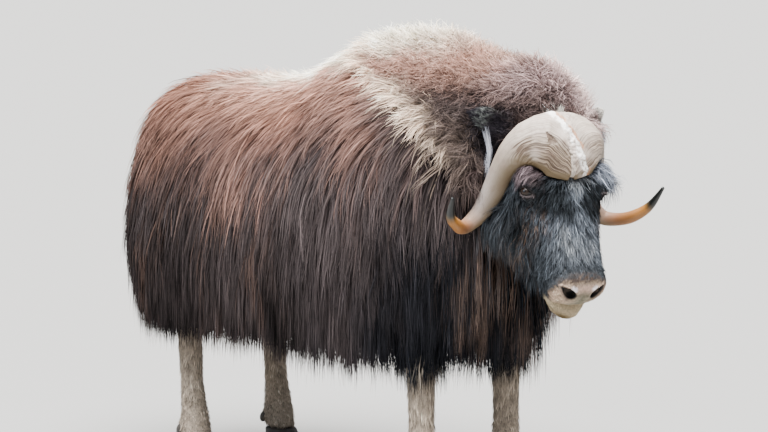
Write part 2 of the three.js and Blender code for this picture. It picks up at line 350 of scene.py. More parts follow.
# %% Legs, and everything made one skin
EAR_BASE, EAR_TIP = np.array([-0.056, 0.088, 0.014]), np.array([-0.150, 0.210, 0.012])
LEFT_EAR_SIZE = 0.84
KNEE, KNEE_LIFT = 0.28, 0.26  # the leg above this height is moved up into the body
LEGS = [f"leg_{end}_{side}" for end in ("fore", "hind") for side in SIDES]
legs = join_copies("leg_skin", LEGS)
here = points_of(legs)
ankle = ease(here[:, 2], 0.12, 0.3)
here -= normals_of(legs) * (0.004 + 0.006 * ankle)[:, None]
here[:, 2] = np.where(here[:, 2] > KNEE, here[:, 2] + KNEE_LIFT, here[:, 2])
set_points(legs, here)
fine_head = copy_of(head)
skin = join([body, head, legs])
even_out(skin, SKIN_CELL)
relax(skin, 2)
for side_name in SIDES:
    ear = join_copies(f"ear_{side_name}_skin", [f"ear_{side_name}"])
    if side_name == "left":
        root = from_head(EAR_BASE)
        set_points(ear, root + (points_of(ear) - root) * LEFT_EAR_SIZE)
    even_out(ear, EAR_CELL)
    relax(ear, 3)
    apply_modifier(skin, "BOOLEAN", operation="UNION", object=ear, solver="EXACT")
    bpy.data.objects.remove(ear)
skin.name = skin.data.name = "skin"
print("one skin", len(skin.data.polygons), "faces", round(time.time() - started, 1), "s")


# %% A finer mesh where the face needs it
def split_faces(piece, wanted):
    """Cuts the faces that `wanted` picks, given the middles of the faces in the head's frame."""
    only(piece)
    mesh = piece.data
    picked = wanted(to_head(read(mesh.polygons, "center").astype(float)))
    bpy.ops.object.mode_set(mode="EDIT")
    bpy.ops.mesh.select_all(action="DESELECT")
    bpy.ops.object.mode_set(mode="OBJECT")
    mesh.polygons.foreach_set("select", picked)
    bpy.ops.object.mode_set(mode="EDIT")
    bpy.ops.mesh.subdivide(number_cuts=1)
    bpy.ops.object.mode_set(mode="OBJECT")


def face_area(p):
    return (p[:, 0] > -0.02) & (p[:, 0] < 0.5) & (np.abs(p[:, 1]) < 0.16) & (np.abs(p[:, 2]) < 0.2)


def fine_area(p):
    nose = (p[:, 0] > 0.315) & (np.abs(p[:, 1]) < 0.12) & (np.abs(p[:, 2] + 0.04) < 0.2)
    return (from_eyes(p) < 0.048) | nose


def eye_area(p):
    return from_eyes(p) < 0.032


for area in (face_area, fine_area, eye_area):
    split_faces(skin, area)
print("with a finer face", len(skin.data.polygons), "faces")

# %% [markdown]
# ## Carving the face
# The fine points of the face settle onto the fine head first. Then each feature is a small push along the
# skin: nostrils like commas, a groove down the middle of the nose, lips, and lids around an almond opening.

# %% Settle on the fine head
tree = tree_of(fine_head)
here = points_of(skin)
in_head = to_head(here)
settle = ease(in_head[:, 0], 0.0, 0.06) * face_area(in_head)
for i in np.nonzero(settle > 0)[0]:
    spot = tree.find_nearest(Vector(here[i]), 0.02)[0]
    if spot is not None:
        here[i] += settle[i] * (np.array(spot) - here[i])
set_points(skin, here)
bpy.data.objects.remove(fine_head)

# %% Nostrils, lips and lids
NOSTRIL_AT = np.array([0.405, 0.042, 0.004])
NOSTRIL_OUT = unit(np.array([0.80, 0.35, 0.48]))
NOSTRIL_WAY = np.array([-0.66, 0.62, 0.45])
NOSTRIL_WAY = unit(NOSTRIL_WAY - NOSTRIL_OUT * (NOSTRIL_WAY @ NOSTRIL_OUT))
NOSTRIL_DOWN = np.cross(NOSTRIL_WAY, NOSTRIL_OUT)
NOSTRIL_LONG, NOSTRIL_WIDE = 0.0225, 0.0128
MOUTH_Z = -0.088
GAZE = unit(np.array([0.16, 0.76, 0.60]))
LID_LINE = np.array([0.68, -0.60, 0.55])
LID_LINE = unit(LID_LINE - GAZE * (LID_LINE @ GAZE))
LID_UP = np.cross(LID_LINE, GAZE)
OPEN_HALF, OPEN_UP, OPEN_DOWN = 0.0195, 0.0095, 0.0102


def eye_view(p, side):
    """Along the lids, across them and outwards from the middle of the eyeball, in metres."""
    from_centre = p * [1, side, 1] - EYE_AT
    return [from_centre @ axis for axis in (LID_LINE, LID_UP, GAZE)]


def nostril_hole(p, side):
    """How far out of a nostril a point lies: 0 in its middle, 1 on its edge, and 9 away from it."""
    from_middle = p * [1, side, 1] - NOSTRIL_AT
    along, across, away = [from_middle @ axis for axis in (NOSTRIL_WAY, NOSTRIL_DOWN, NOSTRIL_OUT)]
    bend = across - 9 * np.maximum(0, along) ** 2
    hole = np.hypot(along / NOSTRIL_LONG, bend / (NOSTRIL_WIDE * (1 - 16 * along)))
    return np.where(np.abs(away) < 0.035, np.minimum(hole, 9), 9)


def carve(p, normal):
    """The face's points moved, in the head's frame."""
    p = p.copy()
    for side in SIDES.values():
        hole = nostril_hole(p, side)
        p -= normal * (0.022 * (1 - ease(hole, 0.55, 1.1)))[:, None]
        p += normal * (0.0030 * bell(hole - 1.4, 0.28))[:, None]
    nose = ease(p[:, 0], 0.36, 0.40)
    middle = bell(p[:, 1], 0.004) * nose * (p[:, 2] < 0.02) * (p[:, 2] > MOUTH_Z)
    p -= normal * (0.0035 * middle)[:, None]
    corner = ease(p[:, 0], 0.335, 0.36)
    slit = p[:, 2] - MOUTH_Z + 0.10 * np.maximum(0, 0.40 - p[:, 0])
    p -= normal * (0.009 * bell(slit, 0.0035) * corner)[:, None]
    lip = bell(slit - 0.012, 0.007) + bell(slit + 0.012, 0.007)
    p += normal * (0.0025 * lip * corner)[:, None]
    jaw = ease(-slit, 0.0, 0.008) * ease(p[:, 0], 0.30, 0.37)
    p += np.outer(jaw, [0.003, 0.0, -0.008])
    return p


def lids(p):
    """The skin round each eye drawn over the eyeball, with an almond opening and folds above and below."""
    p = p.copy()
    for side in SIDES.values():
        flip = np.array([1, side, 1])
        u, v, out = eye_view(p, side)
        reach = np.hypot(u, v)
        near = (reach < 0.05) & (out > -0.01)
        share = np.clip(1 - (u / OPEN_HALF) ** 2, 0, None)
        edge = np.where(v > 0, OPEN_UP * share ** 0.8, OPEN_DOWN * share ** 0.7)
        inside = near & (np.abs(u) < OPEN_HALF) & (np.abs(v) < edge)
        gap = np.abs(v) - edge
        radius = EYE_RADIUS + 0.0016
        ball = np.sqrt(np.maximum(radius ** 2 - np.minimum(reach, radius * 0.97) ** 2, 0))
        cover = near * (1 - ease(reach, 0.017, 0.032))
        fold = 0.0016 * bell(reach - 0.0245, 0.0025) * np.where(v > 0, 1.3, 0.9)
        crease = -0.0012 * bell(reach - 0.0205, 0.0018)
        rim = 0.0012 * bell(gap, 0.0022) * (np.abs(u) < OPEN_HALF * 1.15)
        new_out = lerp(out, ball + rim, cover) + (fold + crease) * near
        new_out = np.where(inside & (gap < -0.0004), ball - 0.0065, new_out)
        p += np.outer(new_out - out, GAZE * flip)
        snap = near & (np.abs(gap) < 0.0008) & (np.abs(u) < OPEN_HALF) & (reach < 0.02)
        p += np.outer(np.where(snap, -gap * np.sign(v), 0), LID_UP * flip)
    return p


here = points_of(skin)
local = to_head(here)
near_face = face_area(local) & (local[:, 0] > 0.03)
shaped = lids(carve(local, normals_of(skin) @ HEAD_TURN))
here[near_face] = from_head(shaped[near_face])
shape_smooth(skin, here)
print("face carved", round(time.time() - started, 1), "s")

# %% The skin's own unwrap
edit(skin, bpy.ops.mesh.quads_convert_to_tris)
edit(skin, bpy.ops.uv.smart_project, angle_limit=np.radians(66), island_margin=0.002)
skin.data.uv_layers[0].name = "OFBake"
keep(skin, "body_coat", "trunk", "neck", "throat_mane", "tail", "head", "ear_left", "ear_right", *LEGS)

# %% [markdown]
# ## Materials as sums and products
# A material is a net of nodes. A small class wraps a socket and overloads + - * and **, so that a mask can be
# written as it would be on paper. One method of the other class adds any other node.

# %% A class for shader maths
class Value:
    """The output socket of a node, which can be added to, multiplied and so on."""

    def __init__(self, finish, socket):
        self.finish = finish
        self.socket = socket

    def maths(self, operation, first, second):
        return self.finish.node("ShaderNodeMath", {"operation": operation}, {0: first, 1: second})


def add_sign(name, operation):
    """Teaches Value one arithmetic sign, from the left and from the right."""
    setattr(Value, f"__{name}__", lambda self, other: self.maths(operation, self, other))
    setattr(Value, f"__r{name}__", lambda self, other: self.maths(operation, other, self))


for name, operation in {"add": "ADD", "sub": "SUBTRACT", "mul": "MULTIPLY", "pow": "POWER"}.items():
    add_sign(name, operation)


class Finish:
    """A material while its nodes are being wired."""

    def __init__(self, name, **constants):
        self.material = bpy.data.materials.new(name)
        self.material.use_nodes = True
        self.tree = self.material.node_tree
        self.shader = self.tree.nodes["Principled BSDF"]
        for socket, value in constants.items():
            self.shader.inputs[socket.replace("_", " ")].default_value = value

    def node(self, kind, settings=None, inputs=None, output=0):
        node = self.tree.nodes.new(kind)
        for key, value in (settings or {}).items():
            if key == "stops":
                self.set_stops(node.color_ramp.elements, value)
            else:
                setattr(node, key, value)
        for key, value in (inputs or {}).items():
            self.feed(node.inputs[key], value)
        return Value(self, node.outputs[output])

    def set_stops(self, elements, stops):
        while len(elements) < len(stops):
            elements.new(1)
        for element, (place, colour) in zip(elements, stops):
            element.position = place
            element.color = (*colour, 1)

    def feed(self, socket, value):
        if isinstance(value, Value):
            self.tree.links.new(value.socket, socket)
        elif hasattr(value, "__len__") and socket.type == "RGBA" and len(value) == 3:
            socket.default_value = (*value, 1)
        else:
            socket.default_value = value

    def mix(self, factor, first, second, blend="MIX"):
        settings = {"data_type": "RGBA", "blend_type": blend}
        return self.node("ShaderNodeMix", settings, {0: factor, 6: first, 7: second}, 2)

    def attribute(self, name, output=0):
        return self.node("ShaderNodeAttribute", {"attribute_name": name}, output=output)

    def place(self):
        return self.node("ShaderNodeTexCoord", output=3)

    def vector(self, x, y, z):
        return self.node("ShaderNodeCombineXYZ", {}, {0: x, 1: y, 2: z})

    def noise(self, vector, scale, detail=3, roughness=0.55):
        values = {"Vector": vector, "Scale": scale, "Detail": detail, "Roughness": roughness}
        return self.node("ShaderNodeTexNoise", {}, values)

    def step(self, value, low, high):
        settings = {"interpolation_type": "SMOOTHSTEP"}
        return self.node("ShaderNodeMapRange", settings, {0: value, 1: low, 2: high, 3: 0, 4: 1})

    def bump(self, height, distance, strength=1.0, normal=None):
        values = {"Height": height, "Distance": distance, "Strength": strength}
        if normal:
            values["Normal"] = normal
        return self.node("ShaderNodeBump", {}, values)

    def output(self, **links):
        for socket, value in links.items():
            self.feed(self.shader.inputs[socket.replace("_", " ")], value)
        return self.material


def write_attribute(piece, name, kind, values):
    layer = piece.data.attributes.new(name, kind, "POINT")
    what = "color" if kind == "FLOAT_COLOR" else "value"
    layer.data.foreach_set(what, np.asarray(values, np.float32).ravel())


# %% [markdown]
# ## Markings
# The skin and every lock read their colour from one function of the place on the body. A dark face with a
# frosted bridge, a brown mantle that ends in a cream fringe behind the shoulder, a cream saddle, brown flanks
# that darken towards the hem, and pale stockings. Some of the colour is painted light: a rim light along the
# top of the back, shade low down, under the fringe and in hollows, and a highlight by each nostril.

# %% Colours by place
CREAM = (0.80, 0.58, 0.42)
MANTLE_TAN = (0.075, 0.052, 0.041)
RIM_LIGHT_AND_PALE_HAIR = (0.97, 0.93, 0.74)
SADDLE = (0.43, 0.22, 0.155)
WOOL = (0.025, 0.0172, 0.0160)
WOOL_TOP = (0.30, 0.150, 0.108)
NAPE = (0.26, 0.175, 0.170)
NAPE_PALE = (0.56, 0.42, 0.385)
POLL_DARK = (0.026, 0.017, 0.016)
CREST = (0.62, 0.60, 0.55)
BACK = (0.160, 0.076, 0.055)
BACK_TOP = (0.130, 0.053, 0.035)
FLANK = (0.0310, 0.0232, 0.0228)
# Dark hair low on the skirt, made darker still as painted shade.
SKIRT_DARK_AND_SHADE = (0.0030, 0.0028, 0.0029)
RUMP = (0.075, 0.043, 0.033)
BLACK_HAIR_AND_SHADE = (0.0025, 0.0032, 0.0045)
TAN = (0.085, 0.054, 0.041)
NECK_DARK_AND_SHADE = (0.0028, 0.0026, 0.0030)
FACE_DARK = (0.022, 0.0255, 0.030)
FACE_BROWN = (0.075, 0.044, 0.028)
FACE_GREY = (0.046, 0.053, 0.064)
STREAK = (0.190, 0.200, 0.205)
BROW_IN_SHADE = (0.080, 0.056, 0.060)
BROW_SKYLIT = (0.18, 0.20, 0.245)
SOCKET_AND_BROW_SHADOW = (0.0035, 0.0045, 0.0052)
LID_UP_TINT = (0.014, 0.011, 0.011)
LID_DOWN_TINT = (0.13, 0.105, 0.110)
MUZZLE = (0.46, 0.33, 0.235)
MUZZLE_RIM = (0.50, 0.34, 0.27)
MUZZLE_MIDDLE = (0.095, 0.100, 0.068)
NOSTRIL_HIGHLIGHT = (0.78, 0.74, 0.76)
LIP = (0.34, 0.27, 0.17)
LIP_DARK = (0.070, 0.042, 0.010)
# Near black, used as painted shade inside the nostrils and along the mouth line.
NOSTRIL_AND_MOUTH_SHADE = (0.004, 0.0035, 0.004)
NOSTRIL_HOLLOW_SHADE = (0.10, 0.078, 0.072)
LEG = (0.33, 0.270, 0.210)
EAR_SHADE = (0.012, 0.010, 0.013)
EAR_PALE = (0.060, 0.064, 0.060)
EAR_EDGE = (0.50, 0.47, 0.42)
CREST_AT = np.array([-0.070, 0.006, 0.100])
BY_EAR = np.array([-0.100, 0.136, -0.01])
BY_EAR_HAIR_AND_SHADOW = (0.0045, 0.0042, 0.0060)
# The outline of the back, from the rump to the neck.
TOP_AT = [-0.94, -0.80, -0.60, -0.33, -0.24, -0.15, -0.02, 0.065, 0.15, 0.40]
TOP_HEIGHT = [1.086, 1.147, 1.165, 1.179, 1.196, 1.237, 1.313, 1.343, 1.345, 1.345]
# The edge of the mantle: how far ahead it lies at each height.
EDGE_HEIGHT = [0.60, 0.90, 0.975, 1.04, 1.09, 1.126, 1.172, 1.223, 1.30]
EDGE_AHEAD = [0.60, 0.565, 0.518, 0.465, 0.394, 0.328, 0.217, 0.079, -0.08]
FORE_LEG_X, HIND_LEG_X, LEG_TRACK = 0.352, -0.653, 0.165


def blend(first, second, share):
    return np.asarray(first) + (np.asarray(second) - first) * share[:, None]


def paint(colour, *coats):
    """Lays tints over a colour one after another, each by its share at every point."""
    for tint, share in coats:
        colour = blend(colour, tint, share)
    return colour


def distance(points, middle, sizes):
    """How far the points lie from a middle, measured in sizes of its own along each axis."""
    return np.linalg.norm((points - middle) / sizes, axis=1)


def ahead_of_edge(points):
    """How far ahead of the mantle's edge a point lies, in metres; less than 0 is behind it."""
    return points[:, 0] - np.interp(points[:, 2], EDGE_HEIGHT, EDGE_AHEAD)


def mantle_share(points):
    ragged = 0.014 * ripple(points, 0.05, 11) + 0.012 * ripple(points, 0.12, 12)
    return ease(ahead_of_edge(points) + ragged, 0.038, 0.058)


def face_share(points):
    local = to_head(points)
    ahead = ease(local[:, 0], 0.0, 0.035)
    beside = ease(-np.abs(local[:, 1]), -0.17, -0.15)
    return ahead * beside * ease(local[:, 2], -0.21, -0.15)


def leg_share(points):
    near = [np.hypot(points[:, 0] - x, np.abs(points[:, 1]) - LEG_TRACK) for x in (FORE_LEG_X, HIND_LEG_X)]
    return ease(-np.minimum(*near), -0.10, -0.085) * ease(-points[:, 2], -0.50, -0.44)


EAR_OPEN = unit(np.array([0.75, 0.2, 0.62]))


def ear_places(points):
    """How far along the ear a point lies, from 0 to 1, and the way to it from the ear's middle line."""
    local = to_head(points)
    local[:, 1] = np.abs(local[:, 1])
    line = EAR_TIP - EAR_BASE
    along = np.clip((local - EAR_BASE) @ line / (line @ line), 0, 1.05)
    return along, local - EAR_BASE - along[:, None] * line


def ear_share(points):
    along, away = ear_places(points)
    return ease(-np.linalg.norm(away, axis=1), -0.050, -0.040) * ease(along, 0.12, 0.3)


def ear_hollow(points):
    """1 in the hollow of the ear, which looks forward and out, and 0 behind it."""
    return ease(ear_places(points)[1] @ EAR_OPEN, 0.004, 0.012)


def face_colour(points):
    local = to_head(points)
    x, over, z = local.T  # over is to the animal's left of the face's middle
    y = np.abs(over)
    patchy = ripple(local, 0.045, 21)
    front = ease(z + 0.25 * (0.09 - y), -0.02, 0.075)
    colour = blend(FACE_DARK, FACE_GREY, front * ease(-x, -0.35, -0.29))
    # Painted light: the frosted front is brighter on the animal's left, the far side, as if lit by the sky.
    colour = colour * (1 + 0.5 * ease(over, 0.0, 0.06) * front)[:, None]
    brow = ease(-np.hypot((x - 0.068) / 0.050, (y - 0.092) / 0.050), -1.15, -0.7)
    brow *= 0.9 * ease(z, 0.015, 0.045)
    parting = bell(over - 0.020, 0.026) * ease(x, 0.03, 0.06) * ease(-x, -0.14, -0.09)
    stroke = bell(over + 0.030, 0.010) * ease(x, 0.205, 0.225) * ease(-x, -0.275, -0.235)
    broad = bell(over + 0.005, 0.062) * ease(x, 0.230, 0.270) * ease(-x, -0.325, -0.28)
    streak = (0.95 * parting + 0.45 * stroke + 0.26 * broad) * (0.75 + 0.6 * patchy) * ease(z, 0.0, 0.04)
    below_eye = bell(np.hypot((x - 0.17) / 0.05, (y - 0.085) / 0.03))
    temple = from_eyes(local)
    # Dark skin round the eye, with a painted shadow from the brow in front of the eye.
    from_fold, from_bridge = x - 0.143, np.where(over < 0, 0.050, 0.066) - y
    socket = np.hypot(
        (0.81 * from_fold + 0.59 * from_bridge) / 0.066, (0.59 * from_fold - 0.81 * from_bridge) / 0.042
    )
    # The brow is painted as a shaded purple-brown copy on the near side and a skylit grey copy on the far
    # side.
    colour = paint(
        colour,
        (BROW_IN_SHADE, brow * (over < 0)),
        (BROW_SKYLIT, brow * (over > 0)),
        (STREAK, np.clip(streak, 0, 1)),
        (FACE_BROWN, below_eye * ease(ripple(local, 0.02, 22), 0.0, 0.8)),
        (FACE_DARK, 0.85 * ease(-temple, -0.050, -0.028)),
        (SOCKET_AND_BROW_SHADOW, 0.9 * (1 - ease(socket + 0.15 * patchy, 0.7, 1.2))),
    )
    for side in SIDES.values():
        u, v, _ = eye_view(local, side)
        lid = (temple < 0.03) * (over * side > 0)
        band = np.hypot(u / (OPEN_HALF + 0.003), v / (OPEN_UP + 0.004))
        lower = lid * (v < 0) * ease(band, 0.82, 0.92) * (1 - ease(band, 1.02, 1.18))
        colour = paint(
            colour, (LID_UP_TINT, lid * (1 - ease(band, 1.1, 1.7))), (LID_DOWN_TINT, 0.9 * lower)
        )
    above_nose = bell(x - 0.380, 0.014) * front * ease(ripple(local, 0.018, 25), -0.8, 0.8)
    ragged = 0.004 * patchy + 0.004 * ripple(local, 0.010, 26)
    nose = ease(x + ragged + 0.018 * ease(-np.abs(z + 0.05), -0.10, -0.06), 0.389, 0.405)
    between = bell(y, 0.038) * ease(-z, -0.052, -0.026)
    colour = paint(
        colour,
        (FACE_BROWN, 0.7 * above_nose),
        (MUZZLE, nose),
        (FACE_BROWN, 1.6 * nose * (1 - nose) * ease(z, -0.09, -0.05)),
        (MUZZLE_MIDDLE, 0.85 * nose * between),
    )
    colour = colour * (1 + 0.18 * nose * ripple(local, 0.014, 23))[:, None]
    lower = ease(-z, 0.083, 0.089) * ease(x, 0.35, 0.37)
    slit = bell(z - MOUTH_Z + 0.10 * np.maximum(0, 0.40 - x), 0.004)
    colour = paint(
        colour,
        (MUZZLE_RIM, 0.9 * bell(x - 0.403, 0.008) * ease(z, -0.01, 0.02)),
        (LIP, lower),
        (LIP_DARK, lower * bell(over + 0.018, 0.026) * ease(-z, 0.100, 0.122)),
        # Dark hair under the lower lip, darkened further as the painted shadow beneath the chin.
        (FACE_DARK, lower * ease(-z, 0.146, 0.156)),
        # Painted shade along the mouth line.
        (NOSTRIL_AND_MOUTH_SHADE, 0.9 * slit * ease(x, 0.34, 0.36)),
    )
    for side in SIDES.values():
        hole = nostril_hole(local, side)
        # A painted highlight, as of wet skin, beside each nostril.
        highlight_spot = distance(local * [1, side, 1], [0.399, 0.030, 0.015], [0.012, 0.011, 0.011])
        # Painted shade in the hollow on the outer side of each nostril.
        hollow_shade = (1 - ease(hole, 1.1, 1.9)) * ease(over * side, 0.030, 0.045)
        colour = paint(
            colour,
            (NOSTRIL_HIGHLIGHT, 0.8 * (1 - ease(highlight_spot, 0.7, 1.2))),
            (NOSTRIL_HOLLOW_SHADE, 0.7 * hollow_shade),
            # Painted shade inside each nostril.
            (NOSTRIL_AND_MOUTH_SHADE, 1 - ease(hole, 1.02, 1.30)),
        )
    return colour


def markings(points):
    """The colour of the coat at its roots, and how pale the tips of the hair turn there."""
    x, y, z = points.T
    side = np.abs(y)
    broad = ripple(points, 0.30, 4)
    fine = ripple(points, 0.10, 5)
    hanging = ripple(points * [1, 1, 0.16], 0.030, 15)
    streaky = ripple(points * [1, 1, 0.20], 0.075, 17)

    # The flanks and the back, darker in front and near black towards the hem, partly as painted shade.
    # Painted shade also darkens the rear, the belly and a hollow on the flank.
    height = z + 0.06 * broad + 0.06 * streaky + 0.03 * hanging + 0.05 * ease(-x, 0.2, 0.8)
    height -= 0.05 * ease(x, -0.25, 0.20)
    strand = ease(streaky + 0.5 * hanging, 0.25, 1.1) * ease(-x, -0.1, 0.25)
    colour = paint(
        blend(SKIRT_DARK_AND_SHADE, FLANK, ease(z + 0.05 * broad + 0.05 * streaky, 0.42, 0.72)),
        (BACK, ease(height, 0.90, 1.20)),
        (BACK_TOP, ease(z, 1.02, 1.12) * ease(-x, -0.1, 0.1)),
        (RUMP, strand * ease(z, 0.50, 0.66) * ease(-z, -1.0, -0.86)),
    )
    # Painted shade at the lower rear, under the belly and in a hollow on the flank.
    rear_shade = ease(-x, 0.14, 0.47) * ease(-z + 0.03 * broad, -1.12, -0.99)
    gap = bell(np.hypot(x / 0.045, (z - 0.92 + 0.01 * fine) / 0.06))
    belly_shade = bell(x + 0.07, 0.13) * ease(-z + 0.03 * broad, -0.93, -0.82)
    colour = colour * (1 - 0.55 * np.maximum(np.maximum(rear_shade, belly_shade), gap))[:, None]

    # The pale saddle, a pale rim along the top that is partly painted rim light, and the black chest, partly
    # painted shade.
    saddle = ease(-side, -0.25, -0.05) * ease(x, -0.80, -0.28) * ease(z, 1.05, 1.14)
    hump = ease(x, -0.24, -0.03)
    under_top = z - np.interp(x, TOP_AT, TOP_HEIGHT) + 0.014 * fine + 0.018 * (1 - hump)
    # The rim follows the outline of the back: pale hair there, brightened as painted rim light.
    rim = ease(under_top, -0.045 - 0.075 * hump, 0.005 - 0.045 * hump)
    rim *= ease(x, -0.62, -0.25) * (1 - 0.75 * ease(x, 0.08, 0.40))
    # The black chest: dark hair, darkened further and tinted blue as painted shade.
    dark = ease(x + 0.05 * broad, -0.06, 0.22) * ease(-z + 0.05 * fine, -0.93, -0.66)
    dark = np.maximum(dark, ease(x, 0.27, 0.42) * ease(-z + 0.04 * fine, -1.0, -0.84))
    pale_hem = bell(x - 0.19, 0.06) * ease(-z, -0.86, -0.74)
    colour = paint(
        colour, (SADDLE, saddle * 0.70), (RIM_LIGHT_AND_PALE_HAIR, rim), (BLACK_HAIR_AND_SHADE, dark * 0.92), (FLANK, pale_hem * 0.75)
    )
    colour = colour * (1 + (0.28 * hanging + 0.18 * streaky) * ease(-z, -1.05, -0.8))[:, None]
    ahead = ahead_of_edge(points)
    # Painted shadow on the flank just behind the mantle's edge, under the overhanging fringe.
    fringe_shadow = ease(ahead, -0.09, 0.0) * ease(-z, -1.21, -1.13) * ease(z, 0.92, 1.0)
    colour = blend(colour, FLANK, fringe_shadow * 0.8)

    # The mantle, with its cream fringe.
    over_nape = ease(z + 0.14 * ease(y, -0.05, 0.0), 1.15, 1.225)
    tan = ease(-ahead + 0.03 * fine, -0.24, -0.10) * ease(-z, -1.26, -1.14)
    tan *= ease(z + 0.04 * broad + 0.03 * hanging, 0.90, 1.06)
    narrower = 0.070 * (1 - ease(z, 1.03, 1.14))
    fringe = ease(-ahead + 0.02 * fine, narrower - 0.140, narrower - 0.045)
    fringe *= ease(z + 0.03 * broad + 0.03 * hanging, 0.95, 1.05)
    wool = paint(
        blend(WOOL, WOOL_TOP, ease(z + 0.02 * broad, 1.13, 1.28)),
        # The same pale rim, partly painted rim light, over the top of the mantle.
        (RIM_LIGHT_AND_PALE_HAIR, rim * 0.9),
        (blend(NAPE, NAPE_PALE, ease(y, -0.02, 0.05)), ease(x, 0.56, 0.70) * over_nape * 0.8),
        # Near black low on the mantle: dark wool, partly painted shade.
        (NECK_DARK_AND_SHADE, ease(-z + 0.03 * fine, -1.0, -0.87)),
        (BLACK_HAIR_AND_SHADE, ease(-z + 0.03 * broad, -0.89, -0.75)),
        (MANTLE_TAN, tan * 0.85),
        (CREAM, fringe * 0.95),
    )

    # The breast, the dark hair round the horns, and dark hair with painted shadow between the near ear and
    # the horn.
    local = to_head(points)
    head_x, head_y, head_z = local.T
    beside = ease(np.abs(head_y), 0.07, 0.10) * ease(head_x, -0.10, -0.03) * ease(-head_z, -0.07, 0.0)
    beside *= ease(-np.linalg.norm(local, axis=1), -0.23, -0.18) * (y < 0)
    breast = bell(x - 0.615, 0.060) * bell(side - 0.14, 0.075)
    strand = ease(ripple(points * [1, 1, 0.14], 0.030, 14) + 2.0 * breast, 0.55, 1.5)
    strand *= ease(x, 0.50, 0.56) * ease(-z, -0.98, -0.80) * ease(z, 0.36, 0.50)
    square = np.column_stack([head_x, np.abs(head_y), head_z])
    # Dark hair between the near ear and the horn, deepened as painted shadow on the near side only.
    by_ear = (1 - ease(distance(square, BY_EAR, [0.078, 0.056, 0.078]), 0.75, 1.15)) * (y < 0)
    poll = np.hypot((head_x + 0.090) / 0.070, (np.abs(head_y) - 0.065) / 0.08)
    poll = (1 - ease(poll, 0.7, 1.25)) * ease(head_z, -0.02, 0.03) * (1 - ease(head_y, 0.02, 0.06))

    face = face_share(points)
    ear, hollow = ear_share(points), ear_hollow(points)
    tip = ear * ease(ear_places(points)[0], 0.50, 0.66)
    pale_ear = tip * np.maximum(hollow, y > 0) * ease(ripple(points, 0.014, 24), -0.5, 0.3)
    colour = paint(
        colour,
        (wool, mantle_share(points)),
        (POLL_DARK, beside),
        (TAN, strand * 0.85),
        (BY_EAR_HAIR_AND_SHADOW, 0.9 * by_ear),
        (POLL_DARK, poll * ease(ripple(points, 0.05, 16), -0.5, 0.4)),
        (CREST, 1 - ease(distance(local, CREST_AT, [0.02, 0.020, 0.04]), 0.6, 1.1)),
        (LEG, leg_share(points)),
        (face_colour(points), face),
        # Painted shade: the near ear is darkened all over, and the far ear's hollow half as much.
        (EAR_SHADE, ear * np.maximum(0.5 * hollow, y < 0)),
        (EAR_PALE, pale_ear * 0.9),
        (EAR_EDGE, tip * (y > 0) * ease(head_z, 0.005, 0.02)),
    )
    pale = np.where(face > 0.5, 0.5, 0.45 + 0.45 * ease(z, 0.6, 1.1))
    return np.clip(colour, 0.002, 1), np.clip(pale, 0, 1)


colour, pale = markings(points_of(skin))
write_attribute(skin, "coat", "FLOAT_COLOR", np.column_stack([colour, pale]))

# %% The skin's finish
hide = Finish("short_hair_on_skin", Roughness=0.75, Specular_IOR_Level=0.25)
hide_colour = hide.attribute("coat")
hide_place = hide.place()
fleck = hide.noise(hide_place, 160, 4)
flecks = hide.mix(hide.step(fleck, 0.35, 0.65), (0.45, 0.44, 0.43), (1.15, 1.12, 1.1))
hair_bump = hide.bump(hide.noise(hide_place, 420, 3), 0.0012, 0.6)
hide.output(
    Base_Color=hide.mix(0.45, hide_colour, flecks, "MULTIPLY"),
    Normal=hide.bump(fleck, 0.0015, 0.5, hair_bump),
)
skin.data.materials.append(hide.material)
for face in skin.data.polygons:
    face.material_index = 0

# %% [markdown]
# ## Eyes
# Each eye is a ball that the lids only half show. The clear front bulges a little. The dark iris and the wide
# level pupil are rings drawn from two numbers stored at each point: how far it is along and across the lids.

# %% Eyeballs
def build_eye(name, side):
    turn = Vector(turn_from_head(GAZE * [1, side, 1])).to_track_quat("Z", "Y").to_euler()
    bpy.ops.mesh.primitive_uv_sphere_add(
        segments=56, ring_count=40, radius=EYE_RADIUS,
        location=from_head(EYE_AT * [1, side, 1]), rotation=turn,
    )
    eye = bpy.context.object
    eye.name = eye.data.name = f"eyeball_{name}"
    bpy.ops.object.transform_apply(location=True, rotation=True, scale=True)
    here = points_of(eye)
    u, v, out = eye_view(to_head(here), side)
    bulge = 0.0014 * ease(-np.hypot(u, v), -0.0125, -0.006) * (out > 0)
    here += np.outer(bulge, turn_from_head(GAZE * [1, side, 1]))
    shape_smooth(eye, here)
    write_attribute(eye, "lid_along", "FLOAT", u * 1000)
    write_attribute(eye, "lid_across", "FLOAT", v * 1000)
    return eye


wet = Finish("wet_eye", Roughness=0.15, Coat_Weight=0.4, Coat_Roughness=0.02, Specular_IOR_Level=0.1)
level = wet.attribute("lid_along", 2)
upright = wet.attribute("lid_across", 2)
from_middle = (level * level + upright * upright) ** 0.5
half_level = level * 0.5
pupil = 1 - wet.step((half_level * half_level + upright * upright) ** 0.5, 2.2, 3.0)
fibre = wet.noise(wet.vector(half_level, upright * 0.5, from_middle * 0.1), 3.0, 4)
iris = wet.mix(fibre, (0.004, 0.0025, 0.0015), (0.022, 0.009, 0.0035))
ring = wet.step(from_middle, 11.0, 13.0)
ball = wet.mix(ring, iris, (0.004, 0.003, 0.003))
ball = wet.mix(wet.step(from_middle, 16.0, 18.0), ball, (0.03, 0.020, 0.018))
wet.output(Base_Color=wet.mix(pupil, ball, (0.004, 0.004, 0.005)))
for name, side in SIDES.items():
    eye = build_eye(name, side)
    eye.data.materials.append(wet.material)
    keep(eye, "eye", f"eye_{name}")

